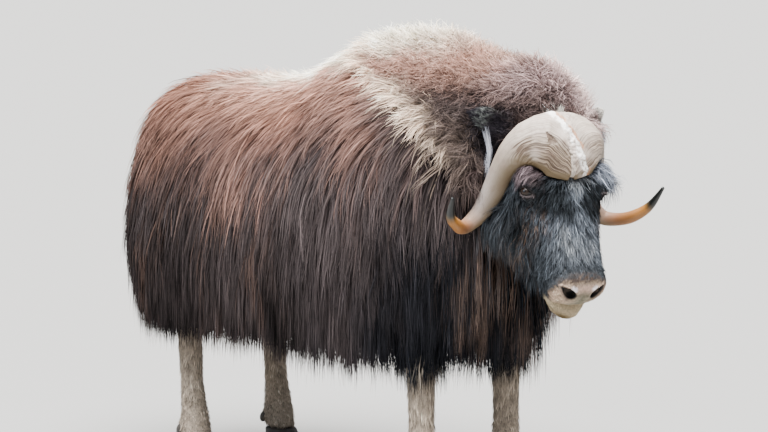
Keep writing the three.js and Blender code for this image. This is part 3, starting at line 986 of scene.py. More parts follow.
# %% [markdown]
# ## Horns
# A bull's horns grow together into a shield over the brow. The keratin there is worn and fibrous, with cracks
# that follow the growth, and a crusty pale seam where the two halves meet. Down the cheek the horn turns
# smooth, then amber, and ends in a polished black tip. A fine remesh of each solid is carved by the distance
# along the horn and the place around it, and the same two numbers are stored for the finish.

# %% Along and around a horn
HORN_LINE = np.array([
    [24, -30, 108], [20, 6, 114], [4, 44, 118], [-8, 83, 92], [-6, 112, 34], [14, 132, -30], [46, 146, -100],
    [74, 166, -154], [98, 200, -176], [118, 232, -154], [131, 262, -112], [124, 296, -66], [105, 313, 20],
]) / 1000
# Half the width, the height above the line and the depth below it at each of those points.
HORN_SIZE = np.array([
    [96, 42, 36], [98, 44, 38], [92, 46, 48], [72, 42, 50], [50, 38, 44], [36, 34, 34], [32, 31, 31],
    [26, 26, 26], [21, 21, 21], [18, 18, 18], [16.5, 16.5, 16.5], [12, 12, 12], [3, 3, 3],
]) / 1000
FINE_LINE = 24  # pieces that each stretch of the line is cut into


def smooth_rows(rows):
    """Many rows on a smooth curve through the given ones."""
    padded = np.vstack([2 * rows[0] - rows[1], rows, 2 * rows[-1] - rows[-2]])
    t = np.arange(FINE_LINE)[:, None] / FINE_LINE
    out = []
    for a, b, c, d in zip(padded, padded[1:], padded[2:], padded[3:]):
        cubic = (3 * b - a - 3 * c + d) * t**3
        out.append(0.5 * (2 * b + (c - a) * t + (2 * a - 5 * b + 4 * c - d) * t**2 + cubic))
    return np.vstack(out + [rows[-1:]])


def horn_places(local, side):
    """For points of a horn: share of its length, place around it, and where a smooth shaft would lie."""
    line = smooth_rows(HORN_LINE * [1, side, 1])
    sizes = smooth_rows(HORN_SIZE)
    length = np.append(0, np.cumsum(np.linalg.norm(np.diff(line, axis=0), axis=1)))
    nearest = nearest_row(line, local)
    forward = unit(np.gradient(line, axis=0))[nearest]
    sideways = unit(np.cross([0.05, side * 0.45, 0.9], forward))
    rise = np.cross(forward, sideways)
    away = local - line[nearest]
    ahead = (away * forward).sum(1)
    share = (length[nearest] + ahead) / length[-1]
    wide, high, _ = sizes[nearest].T
    across = (away * sideways).sum(1) * side
    around = np.arctan2(-across / wide, (away * rise).sum(1) / high)
    outward = away - forward * ahead[:, None]
    radius = np.interp(share * length[-1], length, sizes.mean(1))
    shaft = line[nearest] + forward * ahead[:, None] + unit(outward) * radius[:, None]
    return share, around, shaft


# %% Carving the horns
HORN_CELL, HOOF_CELL = 0.0036, 0.0034
CHIP_AT = np.array([0.016, -0.057, 0.158])
# The pale scar where the two halves met runs aslant over the shield.
SCAR_SLOPE, SCAR_START = 0.45, 0.007


def horn_attributes(piece, local, share, curl, cracks_and_notch_shade, worn, under):
    """Stores the numbers that the finish of the horns reads."""
    from_scar = local[:, 1] - SCAR_SLOPE * (local[:, 0] - SCAR_START)
    named = {
        "share": share, "grain": curl * 100, "scar": from_scar * 100,
        "crack": cracks_and_notch_shade, "worn": worn, "under": under,
    }
    for name, values in named.items():
        write_attribute(piece, f"horn_{name}", "FLOAT", values)


def chip_notch(local):
    """A wedge broken out of the shield: its share at each point, and the dark cracks and painted shade inside
    it.
    """
    down = (local - CHIP_AT) @ unit(np.array([0.85, 0.25, -0.3])) + 0.0010 * ripple(local, 0.008, 38)
    beside = (local - CHIP_AT) @ unit(np.array([-0.25, 0.95, 0.1])) + 0.0015 * ripple(local, 0.007, 39)
    beside -= 0.15 * down
    wedge = np.maximum(np.abs(down) / 0.022, np.abs(beside) / (0.0015 + 0.33 * np.maximum(0, down + 0.022)))
    notch = (1 - ease(wedge, 0.75, 1.10)) * (local[:, 2] > 0.12)
    shadow = (0.70 + 0.35 * np.sin(down * 1500)) * ease(-down, -0.021, -0.012)
    return notch, notch * shadow, 0.0045 * notch * ease(-down, -0.024, 0.0)


def build_horn(name, side):
    horn = join_copies(f"horn_{name}_fine", [f"horn_{name}"])
    even_out(horn, HORN_CELL)
    relax(horn, 6, 0.6)
    edit(horn, bpy.ops.mesh.subdivide, number_cuts=1, smoothness=0)
    relax(horn, 2, 0.5)
    local = to_head(points_of(horn))
    share, around, shaft = horn_places(local, side)
    local = lerp(local, shaft, ease(share, 0.28, 0.42)[:, None])
    set_points(horn, from_head(local))
    here = points_of(horn)
    middle = np.abs(local[:, 1])
    plate = 1 - ease(share, 0.15, 0.32)
    curl = around * (0.030 + 0.055 * plate) - 0.050 * np.exp(-middle / 0.020)
    curl += 0.0014 * ripple(local, 0.03, 36)
    # Wear, heavier round the lower side of the shield and on the near horn. The finish also uses it as
    # painted shade below and painted light on top.
    worn = (0.20 + 0.80 * ease(around, -0.35, 0.55)) * ease(ripple(local, 0.08, 37), -1.8, -0.2)
    worn *= 1 if side < 0 else 0.62
    across_grain = np.column_stack([curl, share * 0.05, 0 * curl])
    ridges = 0.5 * ripple(across_grain, 0.0070, 31, 14) + 0.6 * ripple(across_grain, 0.0042, 32, 14)
    cracks_and_notch_shade = np.maximum(0, ripple(across_grain, 0.0060, 33, 18) - 0.15) * plate * worn
    lift = 0.00060 * ridges * (0.05 + 0.95 * plate * worn) - 0.0016 * cracks_and_notch_shade
    lift += 0.0012 * ripple(local, 0.07, 34) * plate
    lift += bell(middle, 0.016) * 0.0010 * ripple(local, 0.012, 35)
    if side < 0:
        notch, notch_cracks_and_shade, deep = chip_notch(local)
        lift -= deep
        cracks_and_notch_shade = np.maximum(cracks_and_notch_shade * (1 - notch), notch_cracks_and_shade)
    normals = normals_of(horn)
    # Where the horn faces down, the finish gives it a darker ochre: painted shade.
    under = ease(-normals[:, 2], 0.0, 0.7)
    here += normals * lift[:, None]
    sunk = (0.003 + 0.010 * ease(local[:, 1], -0.01, 0.05)) * plate * ease(-local[:, 0], -0.02, 0.04)
    here += turn_from_head(np.outer(sunk, [0.89, 0.0, -0.45]))
    shape_smooth(horn, here)
    horn_attributes(horn, local, share, curl, cracks_and_notch_shade, worn, under)
    return horn


# %% The finish of the horns
keratin = Finish("horn_keratin", Roughness=0.5, Specular_IOR_Level=0.4)
HORN_NUMBERS = ("share", "grain", "scar", "crack", "worn", "under")
share, grain, scar, crack, worn, under = [keratin.attribute(f"horn_{name}", 2) for name in HORN_NUMBERS]
spot = keratin.place()
step, noise, mix = keratin.step, keratin.noise, keratin.mix
wander = share + 0.03 * (noise(spot, 18, 2) - 0.5)
body_colour = keratin.node("ShaderNodeValToRGB", {"stops": [
    (0.0, (0.43, 0.36, 0.30)), (0.16, (0.34, 0.275, 0.22)), (0.34, (0.25, 0.200, 0.155)),
    (0.53, (0.36, 0.315, 0.290)), (0.62, (0.30, 0.200, 0.145)), (0.720, (0.26, 0.112, 0.048)),
    (0.845, (0.27, 0.110, 0.018)), (0.872, (0.06, 0.040, 0.018)), (0.890, (0.004, 0.006, 0.006)),
]}, {0: wander})
streak_place = keratin.vector(grain, share * 3.0, 0.0)
streaks = noise(streak_place, 1.7, 4, 0.72)
fine_streaks = noise(streak_place, 3.4, 3, 0.6)
coarse = noise(streak_place, 0.8, 3, 0.6)
plate = 1 - step(share, 0.14, 0.33)
lines = step(streaks, 0.48, 0.54) * (0.10 + 0.90 * plate * worn)
lines = lines * (0.50 + 0.50 * step(fine_streaks, 0.42, 0.54))
lines = lines + (1 - lines) * step(fine_streaks, 0.48, 0.55) * worn * worn * worn * plate * 0.8
toned = mix(step(coarse, 0.45, 0.70) * plate * 0.5, body_colour, (0.58, 0.50, 0.44))
# Less wear is paler and more wear is dark brown: real wear, and partly painted light on the top of the shield
# and painted shade below.
toned = mix((1 - worn) * plate * 0.35, toned, (0.56, 0.49, 0.43))
toned = mix(worn * worn * plate * 0.78, toned, (0.185, 0.128, 0.078))
mottle = step(noise(spot, 30, 5, 0.65), 0.45, 0.65) * (1 - step(share, 0.65, 0.75))
toned = mix(mottle * 0.45, toned, (0.21, 0.145, 0.118))
toned = mix(lines * 0.95, toned, (0.045, 0.026, 0.015))
# Dark cracks, and painted shade inside the chipped notch.
toned = mix(step(crack, 0.05, 0.5) * 0.85, toned, (0.075, 0.043, 0.026))
# Painted shade: a darker ochre where the horn faces down.
toned = mix(under * (1 - step(share, 0.62, 0.78)) * 0.85, toned, (0.14, 0.096, 0.045))
patches = noise(spot, 38, 4)
scar = scar + 3.6 * (noise(spot, 30, 4, 0.65) - 0.5)
beside_scar = step(scar, -4.0, -0.8) * (1 - step(scar, 0.8, 1.8))
toned = mix(beside_scar * step(patches, 0.38, 0.58) * 0.6, toned, (0.60, 0.51, 0.46))
rust = step(scar, 0.5, 1.0) * (1 - step(scar, 1.2, 2.0)) * step(patches, 0.40, 0.55)
toned = mix(rust * 0.8, toned, (0.40, 0.185, 0.085))
flake_zone = step(scar, -1.5, -0.6) * (1 - step(scar, 0.5, 0.9))
flake = flake_zone * step(noise(spot, 42, 5, 0.65), 0.38, 0.52)
toned = mix(flake * 0.95, toned, (0.98, 0.96, 0.93))
polish = step(share, 0.60, 0.90)
keratin.output(
    Base_Color=toned,
    Roughness=0.58 - 0.22 * polish + 0.10 * (streaks - 0.5),
    Normal=keratin.bump(streaks * (0.15 + 0.85 * plate) * (1 - polish), 0.0022, 0.8),
)
horn_pieces = [build_horn(name, side) for name, side in SIDES.items()]
for name, horn in zip(SIDES, horn_pieces):
    horn.data.materials.append(keratin.material)
    keep(horn, "horn", f"horn_{name}")

# %% The crusty seam between them
SEAM_MIDDLE = np.array([0.0225, 0.0, 0.1125])
SEAM_HALF = 0.017
FAR_OUT = 0.25  # the rays start this far from the middle
horn_trees = [tree_of(horn) for horn in horn_pieces]


def shield_radius(angle, across):
    """How far the surface of the horns lies from the middle of their shared base, beside the parting."""
    way = np.array([np.cos(angle), 0.0, np.sin(angle)])
    across = np.copysign(max(abs(across), 0.006), across)
    start = Vector(from_head(SEAM_MIDDLE + [0, across, 0] + way * FAR_OUT))
    found = [tree.ray_cast(start, Vector(turn_from_head(-way)), FAR_OUT)[3] for tree in horn_trees]
    found = [gone for gone in found if gone is not None]
    return FAR_OUT - min(found) if found else 0.045


bpy.ops.mesh.primitive_uv_sphere_add(segments=200, ring_count=32, radius=1)
seam_piece = bpy.context.object
seam_piece.name = seam_piece.data.name = "horn_seam"
ball = points_of(seam_piece)
angle = np.arctan2(ball[:, 1], ball[:, 0])
edge = np.abs(ball[:, 2])
across = SEAM_HALF * (1 - 0.45 * ease(np.cos(angle), 0.1, 0.9)) * np.copysign(edge ** 0.75, ball[:, 2])
radius = np.array([shield_radius(a, y) for a, y in zip(angle, across)])
radius += 0.0012 - 0.0042 * ease(edge, 0.45, 0.88)
way = np.column_stack([np.cos(angle), 0 * angle, np.sin(angle)])
crust = way * radius[:, None] + [0, 1, 0] * across[:, None]
flakes = 0.0006 * ripple(crust, 0.016, 41) + 0.0004 * ripple(crust, 0.006, 42)
radius = (radius + flakes) * (1 - 0.4 * ease(edge, 0.90, 1.0))
here = SEAM_MIDDLE + way * radius[:, None]
here[:, 1] = across
shape_smooth(seam_piece, from_head(here))
edit(seam_piece, bpy.ops.mesh.normals_make_consistent, inside=False)
horn_attributes(seam_piece, here, 0 * angle, across + 0.05 * angle, 0 * angle, 0.3 + 0 * angle, 0 * angle)
seam_piece.data.materials.append(keratin.material)
keep(seam_piece, "horn")

# %% [markdown]
# ## Hooves
# Each foot stands on two broad rounded claws with a small dewclaw on each side behind. The solids give the
# outline. A remesh rounds them, and shallow rings show how the horn has grown down from the hair.

# %% Claws and dewclaws
def build_foot(end, side_name):
    nodes = [f"hoof_{end}_{side_name}_{where}" for where in ("outer", "inner")]
    foot = join_copies(f"hoof_{end}_{side_name}", nodes)
    even_out(foot, HOOF_CELL)
    relax(foot, 4)
    here = points_of(foot)
    normals = normals_of(foot)
    upright = ease(-np.abs(normals[:, 2]), -0.8, -0.3)
    waves = np.sin(here[:, 2] / 0.0011 + 2.0 * ripple(here, 0.05, 51))
    here += normals * (upright * (0.00035 * waves + 0.0008 * ripple(here, 0.02, 52)))[:, None]
    here[:, 2] = np.maximum(here[:, 2], 0)
    shape_smooth(foot, here)
    foot.data.materials.append(hoof_horn.material)
    keep(foot, "hoof", *nodes)


hoof_horn = Finish("hoof_horn", Roughness=0.55, Specular_IOR_Level=0.35)
hoof_spot = hoof_horn.place()
height = hoof_horn.node("ShaderNodeSeparateXYZ", {}, {0: hoof_spot}, 2)
layered = hoof_horn.node("ShaderNodeVectorMath", {"operation": "MULTIPLY"}, {0: hoof_spot, 1: (60, 60, 260)})
wall = hoof_horn.noise(layered, 1, 4)
dust = hoof_horn.step(height, 0.022, 0.0) * hoof_horn.noise(hoof_spot, 90, 4)
hoof_colour = hoof_horn.mix(wall, (0.022, 0.019, 0.017), (0.075, 0.064, 0.055))
hoof_horn.output(
    Base_Color=hoof_horn.mix(dust, hoof_colour, (0.22, 0.19, 0.155)),
    Roughness=0.42 + 0.35 * wall,
    Normal=hoof_horn.bump(wall, 0.0015, 0.6),
)
for end in ("fore", "hind"):
    for side_name in SIDES:
        build_foot(end, side_name)

DEWCLAW_BEHIND, DEWCLAW_APART, DEWCLAW_UP = 0.040, 0.024, 0.082
DEWCLAW_SIZE, DEWCLAW_TILT = (0.013, 0.010, 0.019), np.radians(28)
dewclaws = []
for leg_x in (FORE_LEG_X, HIND_LEG_X):
    for leg_y in (LEG_TRACK, -LEG_TRACK):
        for apart in (DEWCLAW_APART, -DEWCLAW_APART):
            place = (leg_x - DEWCLAW_BEHIND, leg_y + apart, DEWCLAW_UP)
            bpy.ops.mesh.primitive_uv_sphere_add(segments=20, ring_count=14, radius=1, location=place)
            claw = bpy.context.object
            claw.scale = DEWCLAW_SIZE
            claw.rotation_euler = (0, DEWCLAW_TILT, 0)
            dewclaws.append(claw)
dewclaw_piece = join(dewclaws)
bpy.ops.object.transform_apply(location=True, rotation=True, scale=True)
bpy.ops.object.shade_smooth()
dewclaw_piece.name = dewclaw_piece.data.name = "dewclaws"
dewclaw_piece.data.materials.append(hoof_horn.material)
keep(dewclaw_piece, "hoof")

# %% [markdown]
# ## How the coat is grown
# Real fur gathers in locks. So nearly thirty thousand locks are traced first: each starts at the skin and
# walks along it the way the hair lies there, lifted by the depth of the coat, until it hangs free and falls.
# Then many thin tapered tufts start between them. Each copies the path of its nearest lock and closes in on
# it towards the tip. Operators can't follow such rules, so these meshes are written as arrays of numbers.

# %% The lie of the hair
DOWN = np.array([0.0, 0.0, -1.0])
BACKWARD = np.array([-1.0, 0.0, 0.0])
LEFT = np.array([0.0, 1.0, 0.0])


def lie(points):
    """The way the hair lies at each place, before it is pressed onto the skin."""
    x, y, z = points.T
    sideways = np.tanh(y / 0.06)
    high = ease(z, 0.84, 1.17)
    rump = ease(-x, 0.55, 0.9)
    flow = np.outer(1 - 0.40 * high, DOWN)
    flow += np.outer(0.06 + 0.68 * high * (1 - 0.40 * rump), BACKWARD)
    flow += np.outer(sideways * (0.10 + 0.30 * high), LEFT)
    chest = ease(x, 0.50, 0.66) * ease(-z, -1.02, -0.9)
    local = to_head(points)
    front = ease(local[:, 2] + 0.3 * (0.08 - np.abs(local[:, 1])), -0.03, 0.06)
    outward = np.tanh(local[:, 1] / 0.05) * (0.15 + 6 * np.abs(local[:, 1]))
    bridge = np.column_stack([np.ones(len(x)), outward, 0 * x])
    brow = bell(np.hypot((local[:, 0] - 0.08) / 0.06, (np.abs(local[:, 1]) - 0.085) / 0.05))
    bridge[:, 1] += brow * np.where(local[:, 1] > 0, 0.5, -1.6)
    on_face = lerp(DOWN * 0.9 + BACKWARD * 0.35, turn_from_head(bridge), front[:, None])
    along_ear = turn_from_head(np.column_stack([0 * x - 0.6, np.sign(local[:, 1]), 0 * x - 0.05]))
    crest = 1 - ease(distance(local, CREST_AT, [0.05, 0.022, 0.05]), 0.7, 1.2)
    for other, share in (
        (DOWN, chest),
        (on_face, face_share(points)),
        (along_ear, ear_share(points)),
        (turn_from_head([-0.5, 0.0, 0.85]), crest),
        (DOWN, leg_share(points)),
    ):
        flow = lerp(flow, other, share[:, None])
    return flow


# %% Places on the skin
skin_points = points_of(skin)
skin_normals = normals_of(skin)
corners = read(skin.data.polygons, "vertices", 3, np.int32)
loop_uv = read(skin.data.uv_layers[0].data, "uv", 2).reshape(-1, 3, 2)
skin_tree = tree_of(skin)
edges_a = skin_points[corners[:, 1]] - skin_points[corners[:, 0]]
edges_b = skin_points[corners[:, 2]] - skin_points[corners[:, 0]]
areas = np.linalg.norm(np.cross(edges_a, edges_b), axis=1) / 2
middles = skin_points[corners].mean(1)
middle_normals = unit(skin_normals[corners].mean(1))
print("skin area", round(areas.sum(), 2), "square metres")


def scatter(count, density, seed):
    """Random places on the skin: their points, normals and places on the unwrap."""
    draw = np.random.default_rng(seed)
    weight = areas * density
    picked = draw.choice(len(areas), count, p=weight / weight.sum())
    a, b = draw.random((2, count))
    over = a + b > 1
    a[over], b[over] = 1 - a[over], 1 - b[over]
    shares = np.column_stack([1 - a - b, a, b])[:, :, None]
    spots = (skin_points[corners[picked]] * shares).sum(1)
    normals = unit((skin_normals[corners[picked]] * shares).sum(1))
    uv = (loop_uv[picked] * shares).sum(1)
    return spots, normals, uv


# %% Tracing a lock
PATH_STEPS = 8
FREE = 0.03


def trace(roots, normals, length, lift, stray, droop):
    """Paths from the roots over the skin, and the outward way at each step."""
    point, normal = roots.copy(), normals.copy()
    path, outward = [point.copy()], [normal.copy()]
    heading, hanging = None, np.zeros(len(point))
    for k in range(1, PATH_STEPS + 1):
        share = k / PATH_STEPS
        flow = lie(point) + stray
        flow -= normal * (flow * normal).sum(1, keepdims=True)
        flow = unit(flow)
        heading = flow if heading is None else heading
        way = unit(flow * (1 - hanging)[:, None] + DOWN * (hanging + droop * share)[:, None])
        heading = unit(heading * 0.35 + way * 0.65)
        point = point + heading * (length / PATH_STEPS)[:, None]
        found = [skin_tree.find_nearest(Vector(p)) for p in point]
        spots = np.array([f[0] for f in found])
        facing = np.array([f[1] for f in found])
        away = np.linalg.norm(point - spots, axis=1)
        height = ((point - spots) * facing).sum(1)
        wanted = lift * (1 - (1 - share) ** 2.2)
        loose = ease(-facing[:, 2], 0.2, 0.45)
        hanging = np.maximum(ease(away - lift, 0.0, FREE), loose * ease(away, 0.0, 0.02))
        hanging *= 1 - ease(facing[:, 2], 0.0, 0.3)
        push = np.where(height < wanted, wanted - height, 0.6 * (wanted - height) * (1 - hanging))
        push = np.where((away > 0.08) & (height < wanted), 0, push)
        normal = unit(normal * 0.5 + facing * 0.5)
        point = point + facing * push[:, None]
        path.append(point.copy())
        outward.append(normal.copy())
    return np.stack(path, 1), np.stack(outward, 1)


# %% Tufts between the locks
PATCH = 0.003


def grow(spots, uv, locks, look, seed):
    """Arrays of ribbon points, colours and places on the unwrap for tufts at `spots`."""
    draw = np.random.default_rng(seed)
    count = len(spots)
    mine = nearest_row(locks["root"], spots)
    lock = {key: values[mine] for key, values in locks.items()}
    rings = look["rings"]
    shares = np.linspace(0, 1, rings + 1) ** 0.9
    at = shares * PATH_STEPS
    low = np.minimum(at.astype(int), PATH_STEPS - 1)
    part = (at - low)[None, :, None]
    path = lerp(lock["path"][:, low], lock["path"][:, low + 1], part)
    out = unit(lerp(lock["outward"][:, low], lock["outward"][:, low + 1], part))
    scale = draw.uniform(0.68, 1.0, count) ** 0.8
    t = shares[None, :, None]
    moved = path - path[:, :1]
    offset = spots - lock["root"]
    gather = (look["gather"] * draw.uniform(0.5, 1.15, count))[:, None, None]
    points = spots[:, None] + moved * scale[:, None, None] - offset[:, None] * gather * t ** 1.4
    layer = draw.random(count) ** 1.3 * look["layers"]
    points -= out * (lock["lift"] * layer)[:, None, None] * (1 - (1 - t) ** 2.2)
    tangent = unit(np.gradient(points, axis=1))
    across = unit(np.cross(tangent, out))
    out = np.cross(across, tangent)
    amplitude = (lock["wave"] * draw.uniform(0.3, 1.3, count))[:, None, None]
    phase = draw.uniform(0, 2 * np.pi, (count, 1, 1))
    turns = draw.uniform(0.5, 1.25, (count, 1, 1)) * 2 * np.pi
    points += across * amplitude * (np.sin(turns * t + phase) - np.sin(phase)) * t ** 0.5
    points += out * amplitude * 0.6 * (np.cos(turns * t * 1.3 + phase) - np.cos(phase)) * t
    points += draw.normal(size=(count, 1, 3)) * lock["wild"][:, None, None] * t ** 1.5
    roll = draw.normal(0, 0.5, (count, 1, 1))
    wide_way = across * np.cos(roll) + out * np.sin(roll)
    width = (lock["width"] * draw.uniform(0.7, 1.3, count))[:, None]
    profile = (0.75 + 0.25 * np.sin(np.pi * np.minimum(shares * 1.6, 1))) * (1 - shares) ** 0.45
    half = wide_way * (width * profile / 2)[:, :, None]
    sides = np.stack([(points - half)[:, :-1], (points + half)[:, :-1]], 2).reshape(count, -1, 3)
    ribbon = np.concatenate([sides, points[:, -1:]], 1)
    each = ribbon.shape[1]
    bleached = 1 + 0.8 * (draw.random(count) < look["bleached"])
    tone = lock["tone"] * np.exp(draw.normal(0, look["speckle"], count)) * bleached
    colour = np.clip(lock["colour"] * 0.5 + np.asarray(look["colour"]) * 0.5, 0, 1) * tone[:, None]
    colour = np.column_stack([np.clip(colour, 0.0015, 1), look["pale"] * np.ones(count)])
    along_uv = np.repeat(shares[:-1], 2)
    patch = np.column_stack([np.tile([0.0, 1.0], rings), along_uv])
    patch = np.vstack([patch, [0.5, 1.0]]) * PATCH
    return {
        "rings": rings,
        "points": ribbon,
        "uv": uv[:, None] - 0.5 * PATCH + patch[None],
        "along": np.tile(np.append(along_uv, 1.0), (count, 1)),
        "across": np.tile(np.append(np.tile([-1.0, 1.0], rings), 0.0), (count, 1)),
        "seed": np.repeat(draw.random(count)[:, None], each, 1),
        "colour": np.repeat(colour[:, None], each, 1),
    }


def ribbon_faces(rings):
    """Corner numbers of one ribbon: quads up the sides and a triangle at the tip."""
    loops, starts = [], []
    for k in range(rings - 1):
        starts.append(len(loops))
        loops += [2 * k, 2 * k + 1, 2 * k + 3, 2 * k + 2]
    starts.append(len(loops))
    loops += [2 * rings - 2, 2 * rings - 1, 2 * rings]
    return np.array(loops), np.array(starts)


def coat_piece(name, grown, chosen, slot):
    """One object out of the chosen tufts."""
    points = grown["points"][chosen]
    count, each = points.shape[:2]
    loops, starts = ribbon_faces(grown["rings"])
    mesh = bpy.data.meshes.new(name)
    mesh.vertices.add(count * each)
    mesh.vertices.foreach_set("co", points.astype(np.float32).ravel())
    all_loops = (loops[None] + each * np.arange(count)[:, None]).ravel()
    mesh.loops.add(len(all_loops))
    mesh.loops.foreach_set("vertex_index", all_loops.astype(np.int32))
    all_starts = (starts[None] + len(loops) * np.arange(count)[:, None]).ravel()
    mesh.polygons.add(len(all_starts))
    mesh.polygons.foreach_set("loop_start", all_starts.astype(np.int32))
    mesh.update(calc_edges=True)
    piece = bpy.data.objects.new(name, mesh)
    bpy.context.scene.collection.objects.link(piece)
    for key in ("along", "across", "seed"):
        write_attribute(piece, key, "FLOAT", grown[key][chosen])
    write_attribute(piece, "coat", "FLOAT_COLOR", grown["colour"][chosen])
    layer = mesh.uv_layers.new(name="OFBake", do_init=False)
    uv = grown["uv"][chosen].reshape(-1, 2)[all_loops]
    layer.data.foreach_set("uv", uv.astype(np.float32).ravel())
    mesh.polygons.foreach_set("use_smooth", np.ones(len(all_starts), bool))
    mesh.materials.append(hair.material)
    keep(piece, slot)


# %% The finish of the locks
hair = Finish("long_hair", Roughness=0.85, Specular_IOR_Level=0.03)
hair_colour = hair.attribute("coat")
pale = hair.attribute("coat", 3)
along = hair.attribute("along", 2)
across = hair.attribute("across", 2)
seed = hair.attribute("seed", 2)
strands = hair.noise(hair.vector(across * 2.2, along * 3.0, seed * 60.0), 1.6, 2)
# The roots are painted darker as shade deep in the coat, and each strand varies at random.
shade = (0.40 + 0.65 * hair.step(along, 0.0, 0.60)) * (0.75 + 0.50 * strands)
tips = pale * along ** 1.6
tipped = hair.mix(tips, hair_colour, hair.node("ShaderNodeGamma", {}, {0: hair_colour, 1: 0.72}))
shade_colour = hair.node("ShaderNodeCombineColor", {}, {0: shade, 1: shade, 2: shade})
hair.output(
    Base_Color=hair.mix(1.0, tipped, shade_colour, "MULTIPLY"),
    Normal=hair.bump(strands, 0.0012, 0.5),
)


# %% The long coat of the body
FAR_POLL = np.array([-0.085, 0.110, 0.045])


def body_look(points, normals):
    """Length, lift and so on of the hair at each place on the body."""
    x, _, z = points.T
    mantle = mantle_share(points)
    top = ease(z, 0.98, 1.16)
    length = lerp(0.27, 0.105, top)
    wool_length = lerp(0.070, 0.044, ease(z, 1.02, 1.2))
    wool_length = lerp(0.24, wool_length, ease(z, 0.72, 0.92))
    fringe = ease(-ahead_of_edge(points), -0.13, -0.06) * mantle
    wool_length += 0.03 * fringe * ease(z, 1.02, 1.12)
    local = to_head(points)
    beyond_poll = bell(np.linalg.norm(local - FAR_POLL, axis=1), 0.065)
    wool_length += 0.02 * beyond_poll
    length = lerp(length, wool_length, mantle)
    length = lerp(length, 0.36, ease(x, 0.5, 0.62) * ease(-z, -0.86, -0.72))
    room = np.maximum(z - 0.325, 0.03) / 0.97
    length = np.minimum(length, np.where(normals[:, 2] < 0.5, room, length))
    woolly = mantle * ease(z, 0.80, 0.98) * (1 - 0.75 * fringe)
    croup = ease(-x, 0.62, 0.80) * ease(z, 0.90, 1.05)
    lift = lerp(0.040, 0.046, woolly) + 0.008 * fringe + 0.008 * croup + 0.022 * beyond_poll
    from_ear = np.linalg.norm(local * [1, -1, 1] - lerp(EAR_BASE, EAR_TIP, 0.3), axis=1)
    by_ear = 1 - 0.6 * (1 - ease(from_ear, 0.06, 0.10))
    return {
        "length": length * by_ear,
        "lift": lift * by_ear,
        "wave": lerp(0.0035, 0.0085, woolly),
        "wild": lerp(lerp(0.006, 0.008, top), 0.009, woolly),
        "stray": lerp(lerp(0.13, 0.22, top), 0.70, woolly),
        "width": lerp(lerp(0.0034, 0.0027, top), 0.0023, woolly),
        "gather": lerp(0.62, 0.34, woolly),
        "bleached": lerp(0.10, 0.04, woolly),
        "woolly": woolly,
        "top": top,
    }


def body_density(points, normals):
    """How thickly the tufts stand at each place on the body."""
    face = face_share(points) + ear_share(points) + leg_share(points)
    look = body_look(points, normals)
    under = ease(-normals[:, 2], 0.45, 0.75)
    dense = 0.80 + 1.05 * look["woolly"] + 0.45 * look["top"]
    return dense * (1 - 0.75 * under) * (1 - np.clip(face, 0, 1))


def make_locks(count, density, look, seed):
    """The locks that the tufts follow: where they run, and how the hair in them is."""
    draw = np.random.default_rng(seed)
    spots, normals, _ = scatter(count, density, seed)
    feel = {key: value * np.ones(count) for key, value in look(spots, normals).items()}
    length = feel["length"] * draw.uniform(0.8, 1.12, count)
    stray = draw.normal(size=(count, 3)) * feel["stray"][:, None]
    lift = feel["lift"] * draw.uniform(0.75, 1.08, count)
    path, outward = trace(spots, normals, length, lift, stray, 0.10)
    colour, _ = markings(spots)
    return {
        "root": spots, "path": path, "outward": outward, "lift": lift, "wave": feel["wave"],
        "wild": feel["wild"], "width": feel["width"], "colour": colour,
        "tone": np.exp(draw.normal(0, 0.30, count)),
    }


def grow_coat(count, lock_count, density, look, seed, pale=1, **settings):
    """Tufts over the part of the skin that `density` picks, along locks of their own."""
    spots, normals, uv = scatter(count, density, seed)
    locks = make_locks(lock_count, density, look, seed + 1)
    colour, paleness = markings(spots)
    feel = look(spots, normals)
    settings.update(gather=feel["gather"], bleached=feel["bleached"], colour=colour, pale=paleness * pale)
    return spots, grow(spots, uv, locks, settings, seed + 2)


def hand_laid(path, outward, lift, wave, wild, width, colour):
    """Locks along given paths, with the same numbers for all of them."""
    ones = np.ones(len(path))
    return {
        "root": path[:, 0], "path": path, "outward": np.broadcast_to(outward, path.shape),
        "lift": lift * ones, "wave": wave * ones, "wild": wild * ones, "width": width * ones,
        "colour": np.tile(colour, (len(path), 1)), "tone": ones,
    }


def clear_tufts(grown):
    """Which tufts stay out of the horns and don't hang over the openings of the lids."""
    points = grown["points"]
    local = to_head(points.reshape(-1, 3)).reshape(points.shape)
    clear = np.ones(len(points), bool)
    near = (np.abs(local[:, :, 0] - 0.03) < 0.2).all(1) & (np.linalg.norm(local, axis=2) < 0.45).any(1)
    for i in np.nonzero(near)[0]:
        for p in points[i, 2:]:
            for tree in horn_trees:
                spot, facing, _, away = tree.find_nearest(Vector(p), 0.06)
                if spot is not None and (away < 0.0015 or (Vector(p) - spot).dot(facing) < 0):
                    clear[i] = False
            if not clear[i]:
                break
    for side in SIDES.values():
        u, v, out = eye_view(local, side)
        opening = 1 if side < 0 else 0.35
        over = (np.hypot((u - 0.003) / 0.0205, (v + 0.001) / 0.0110) < opening) & (out > 0)
        clear &= ~over[:, 1:].any(1)
    return clear


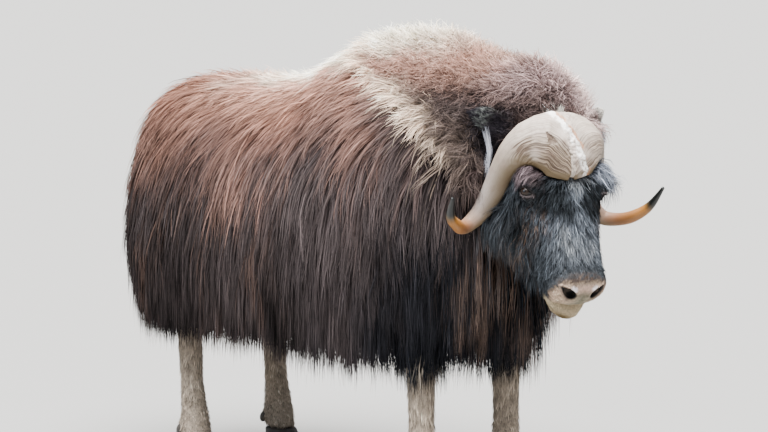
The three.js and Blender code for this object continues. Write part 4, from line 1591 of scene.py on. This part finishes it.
BODY_TUFTS, BODY_LOCKS = 170_000, 19_000
MOST_TUFTS = 28_000  # in one piece
SKIRT_TOP, CHEST_FROM = 0.86, 0.45
body_weight = body_density(middles, middle_normals)
spots, grown = grow_coat(
    BODY_TUFTS, BODY_LOCKS, body_weight, body_look, 101, rings=4, layers=0.75, speckle=0.20
)
clear = clear_tufts(grown)
print("tufts kept", clear.sum(), "of", len(clear), round(time.time() - started, 1), "s")
mantle = mantle_share(spots) > 0.5
right = spots[:, 1] < 0
low = spots[:, 2] < SKIRT_TOP
chest = mantle | (spots[:, 0] > CHEST_FROM)
groups = {
    "mantle_right": mantle & right & ~low,
    "mantle_left": mantle & ~right & ~low,
    "chest": chest & low,
    "back_right": ~mantle & right & ~low,
    "back_left": ~mantle & ~right & ~low,
    "skirt_right": ~chest & right & low,
    "skirt_left": ~chest & ~right & low,
}
for name, chosen in groups.items():
    numbers = np.nonzero(chosen & clear)[0]
    numbers = numbers[np.argsort(spots[numbers, 0])]
    parts = int(np.ceil(len(numbers) / MOST_TUFTS))
    for k, portion in enumerate(np.array_split(numbers, parts)):
        label = f"coat_{name}" + (f"_{k + 1}" if parts > 1 else "")
        coat_piece(label, grown, portion, "body_coat")


# %% The short coat of the face
def face_look(points, normals):
    """The same numbers for the face. The hair over the far eye is longer."""
    local = to_head(points)
    x, y, z = local[:, 0], np.abs(local[:, 1]), local[:, 2]
    eye = from_eyes(local)
    nose = ease(x, 0.31, 0.37)
    jaw = ease(-z, 0.03, 0.12) * ease(-x, -0.33, -0.25)
    brow = bell(np.hypot((x - 0.07) / 0.055, (y - 0.085) / 0.05))
    length = 0.036 + 0.05 * jaw + 0.022 * brow + 0.012 * bell(y, 0.03)
    length = lerp(length, 0.008, nose)
    far_brow = ease(local[:, 1], 0.055, 0.085) * bell(x - 0.080, 0.036) * ease(z, -0.02, 0.02)
    length += 0.040 * far_brow
    beside_eye = np.maximum(ease(eye, 0.027, 0.058), far_brow * ease(eye, 0.024, 0.036))
    lift = lerp(0.010 + 0.014 * jaw + 0.016 * brow, 0.0012, nose) * ease(eye, 0.02, 0.05)
    return {
        "length": lerp(0.010, length, beside_eye), "lift": lift + 0.020 * far_brow,
        "wave": 0.0015 * (1 - nose), "wild": 0.0035 * (1 - nose),
        "stray": 0.22 + 0.1 * brow, "width": lerp(0.0024, 0.0012, nose),
        "gather": 0.5, "bleached": 0.12,
    }


def bare(points):
    """Where no tuft grows: nostrils, lips and the edges of the lids."""
    local = to_head(points)
    out = np.zeros(len(points))
    for side in SIDES.values():
        out = np.maximum(out, 1 - ease(nostril_hole(local, side), 1.2, 1.5))
        u, v, away = eye_view(local, side)
        rim = np.hypot(u / (OPEN_HALF + 0.002), v / (OPEN_UP + 0.0025))
        out = np.maximum(out, (1 - ease(rim, 0.95, 1.1)) * (away > 0))
    pad = ease(local[:, 0], 0.395, 0.402) * ease(-np.abs(local[:, 1]), -0.05, -0.04)
    lips = ease(-np.abs(local[:, 2] - MOUTH_Z), -0.012, -0.007) * ease(local[:, 0], 0.33, 0.35)
    return np.clip(np.maximum(out, np.maximum(pad, lips)), 0, 1)


FACE_TUFTS, FACE_LOCKS = 26_000, 5_000
face_weight = face_share(middles) * (1 - bare(middles)) * (1 - ear_share(middles))
spots, grown = grow_coat(
    FACE_TUFTS, FACE_LOCKS, face_weight, face_look, 201, rings=3, layers=0.6, speckle=0.28
)
coat_piece("coat_face", grown, clear_tufts(grown), "face_coat")


# %% Stockings and ears
def limb_look(points, normals):
    """The same numbers for the legs and the ears."""
    ear = ear_share(points)
    length = lerp(0.014, 0.045, ease(points[:, 2], 0.10, 0.40))
    return {
        "length": lerp(length, 0.013, ear), "lift": lerp(0.006, 0.0025, ear),
        "wave": 0.0008, "wild": lerp(0.0015, 0.002, ear),
        "stray": 0.15, "width": lerp(0.0019, 0.0018, ear),
        "gather": 0.4, "bleached": 0.08,
    }


LIMB_TUFTS, LIMB_LOCKS = 22_000, 5_000
limb_weight = (leg_share(middles) + 3.5 * ear_share(middles)) * (middles[:, 2] > 0.05)
spots, grown = grow_coat(
    LIMB_TUFTS, LIMB_LOCKS, limb_weight, limb_look, 301, pale=0.5, rings=3, layers=0.6, speckle=0.14
)
coat_piece("coat_legs_and_ears", grown, np.ones(len(spots), bool), "leg_coat")

# %% A pale lock below each ear
LOCK_PALE = (0.50, 0.51, 0.57)
LOCK_DARK = (0.045, 0.045, 0.060)
EAR_LOCK_SHARE = 0.59  # how far along the ear the lock starts


def ear_locks(spots, side, count, seed):
    """Locks that start on the ear's lower edge and hang beside the horn."""
    draw = np.random.default_rng(seed)
    roots = spots[draw.choice(len(spots), count, replace=False)]
    inward = np.array([0.669, -0.743 * side, 0.0])
    outward = np.array([0.743, 0.669 * side, 0.0])
    t = np.linspace(0, 1, PATH_STEPS + 1)[None, :, None]
    length = draw.uniform(0.115, 0.160, (count, 1, 1)) * (1.0 if side < 0 else 0.5)
    sway = draw.normal(0, 0.0015, (count, 1, 1))
    path = roots[:, None] + DOWN * length * t + outward * (0.022 * np.sin(np.pi * 0.8 * t) + 0.006)
    path += inward * (np.interp(t, [0, 0.25, 0.45, 0.7, 1], [0, 0.011, 0.019, 0.017, 0.007]) + sway * t)
    locks = hand_laid(path, outward, 0.002, 0.0030, 0.0035, 0.0014, LOCK_PALE)
    locks["root"] = roots
    return locks


for side_name, side in SIDES.items():
    along, away = ear_places(middles)
    lower_edge = bell(along - EAR_LOCK_SHARE, 0.035) * (ear_share(middles) > 0.5)
    lower_edge *= ease(away @ np.array([0.8, -0.1, -0.3]), -0.002, 0.010)
    lower_edge *= to_head(middles)[:, 1] * side > 0
    spots, _, uv = scatter(80, lower_edge, 401 + side)
    locks = ear_locks(spots, side, 3, 411 + side)
    pale_tuft = np.random.default_rng(421).random((len(spots), 1)) < 0.55
    grown = grow(spots, uv, locks, {
        "rings": 4, "gather": 0.80, "layers": 0.3, "speckle": 0.15, "bleached": 0.0,
        "colour": np.where(pale_tuft, LOCK_PALE, LOCK_DARK), "pale": 0.1,
    }, 431 + side)
    coat_piece(f"ear_lock_{side_name}", grown, clear_tufts(grown), "face_coat")

# %% A pale tuft on the crown, behind the shield
CROWN_TUFTS, CROWN_LOCKS = 700, 14
crown = bell(distance(to_head(middles), CREST_AT, [0.018, 0.018, 0.040]))
spots, normals, uv = scatter(CROWN_TUFTS, crown, 451)
draw = np.random.default_rng(452)
roots = spots[:CROWN_LOCKS]
t = np.linspace(0, 1, PATH_STEPS + 1)[None, :, None]
rise = turn_from_head(np.array([[-0.45, 0.10, 0.89]]))[0]
length = draw.uniform(0.032, 0.044, (len(roots), 1, 1))
lean = draw.normal(0, 0.22, (len(roots), 1, 3))
path = roots[:, None] + rise * length * t + lean * length * t ** 2
crown_locks = hand_laid(path, normals[:CROWN_LOCKS, None], 0.001, 0.002, 0.002, 0.0030, CREST)
grown = grow(spots, uv, crown_locks, {
    "rings": 4, "gather": 0.15, "layers": 0.3, "speckle": 0.15, "bleached": 0.0,
    "colour": CREST, "pale": 0.2,
}, 453)
coat_piece("coat_crown", grown, clear_tufts(grown), "face_coat")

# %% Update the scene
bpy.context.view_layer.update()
print("made in", round(time.time() - started, 1), "s")
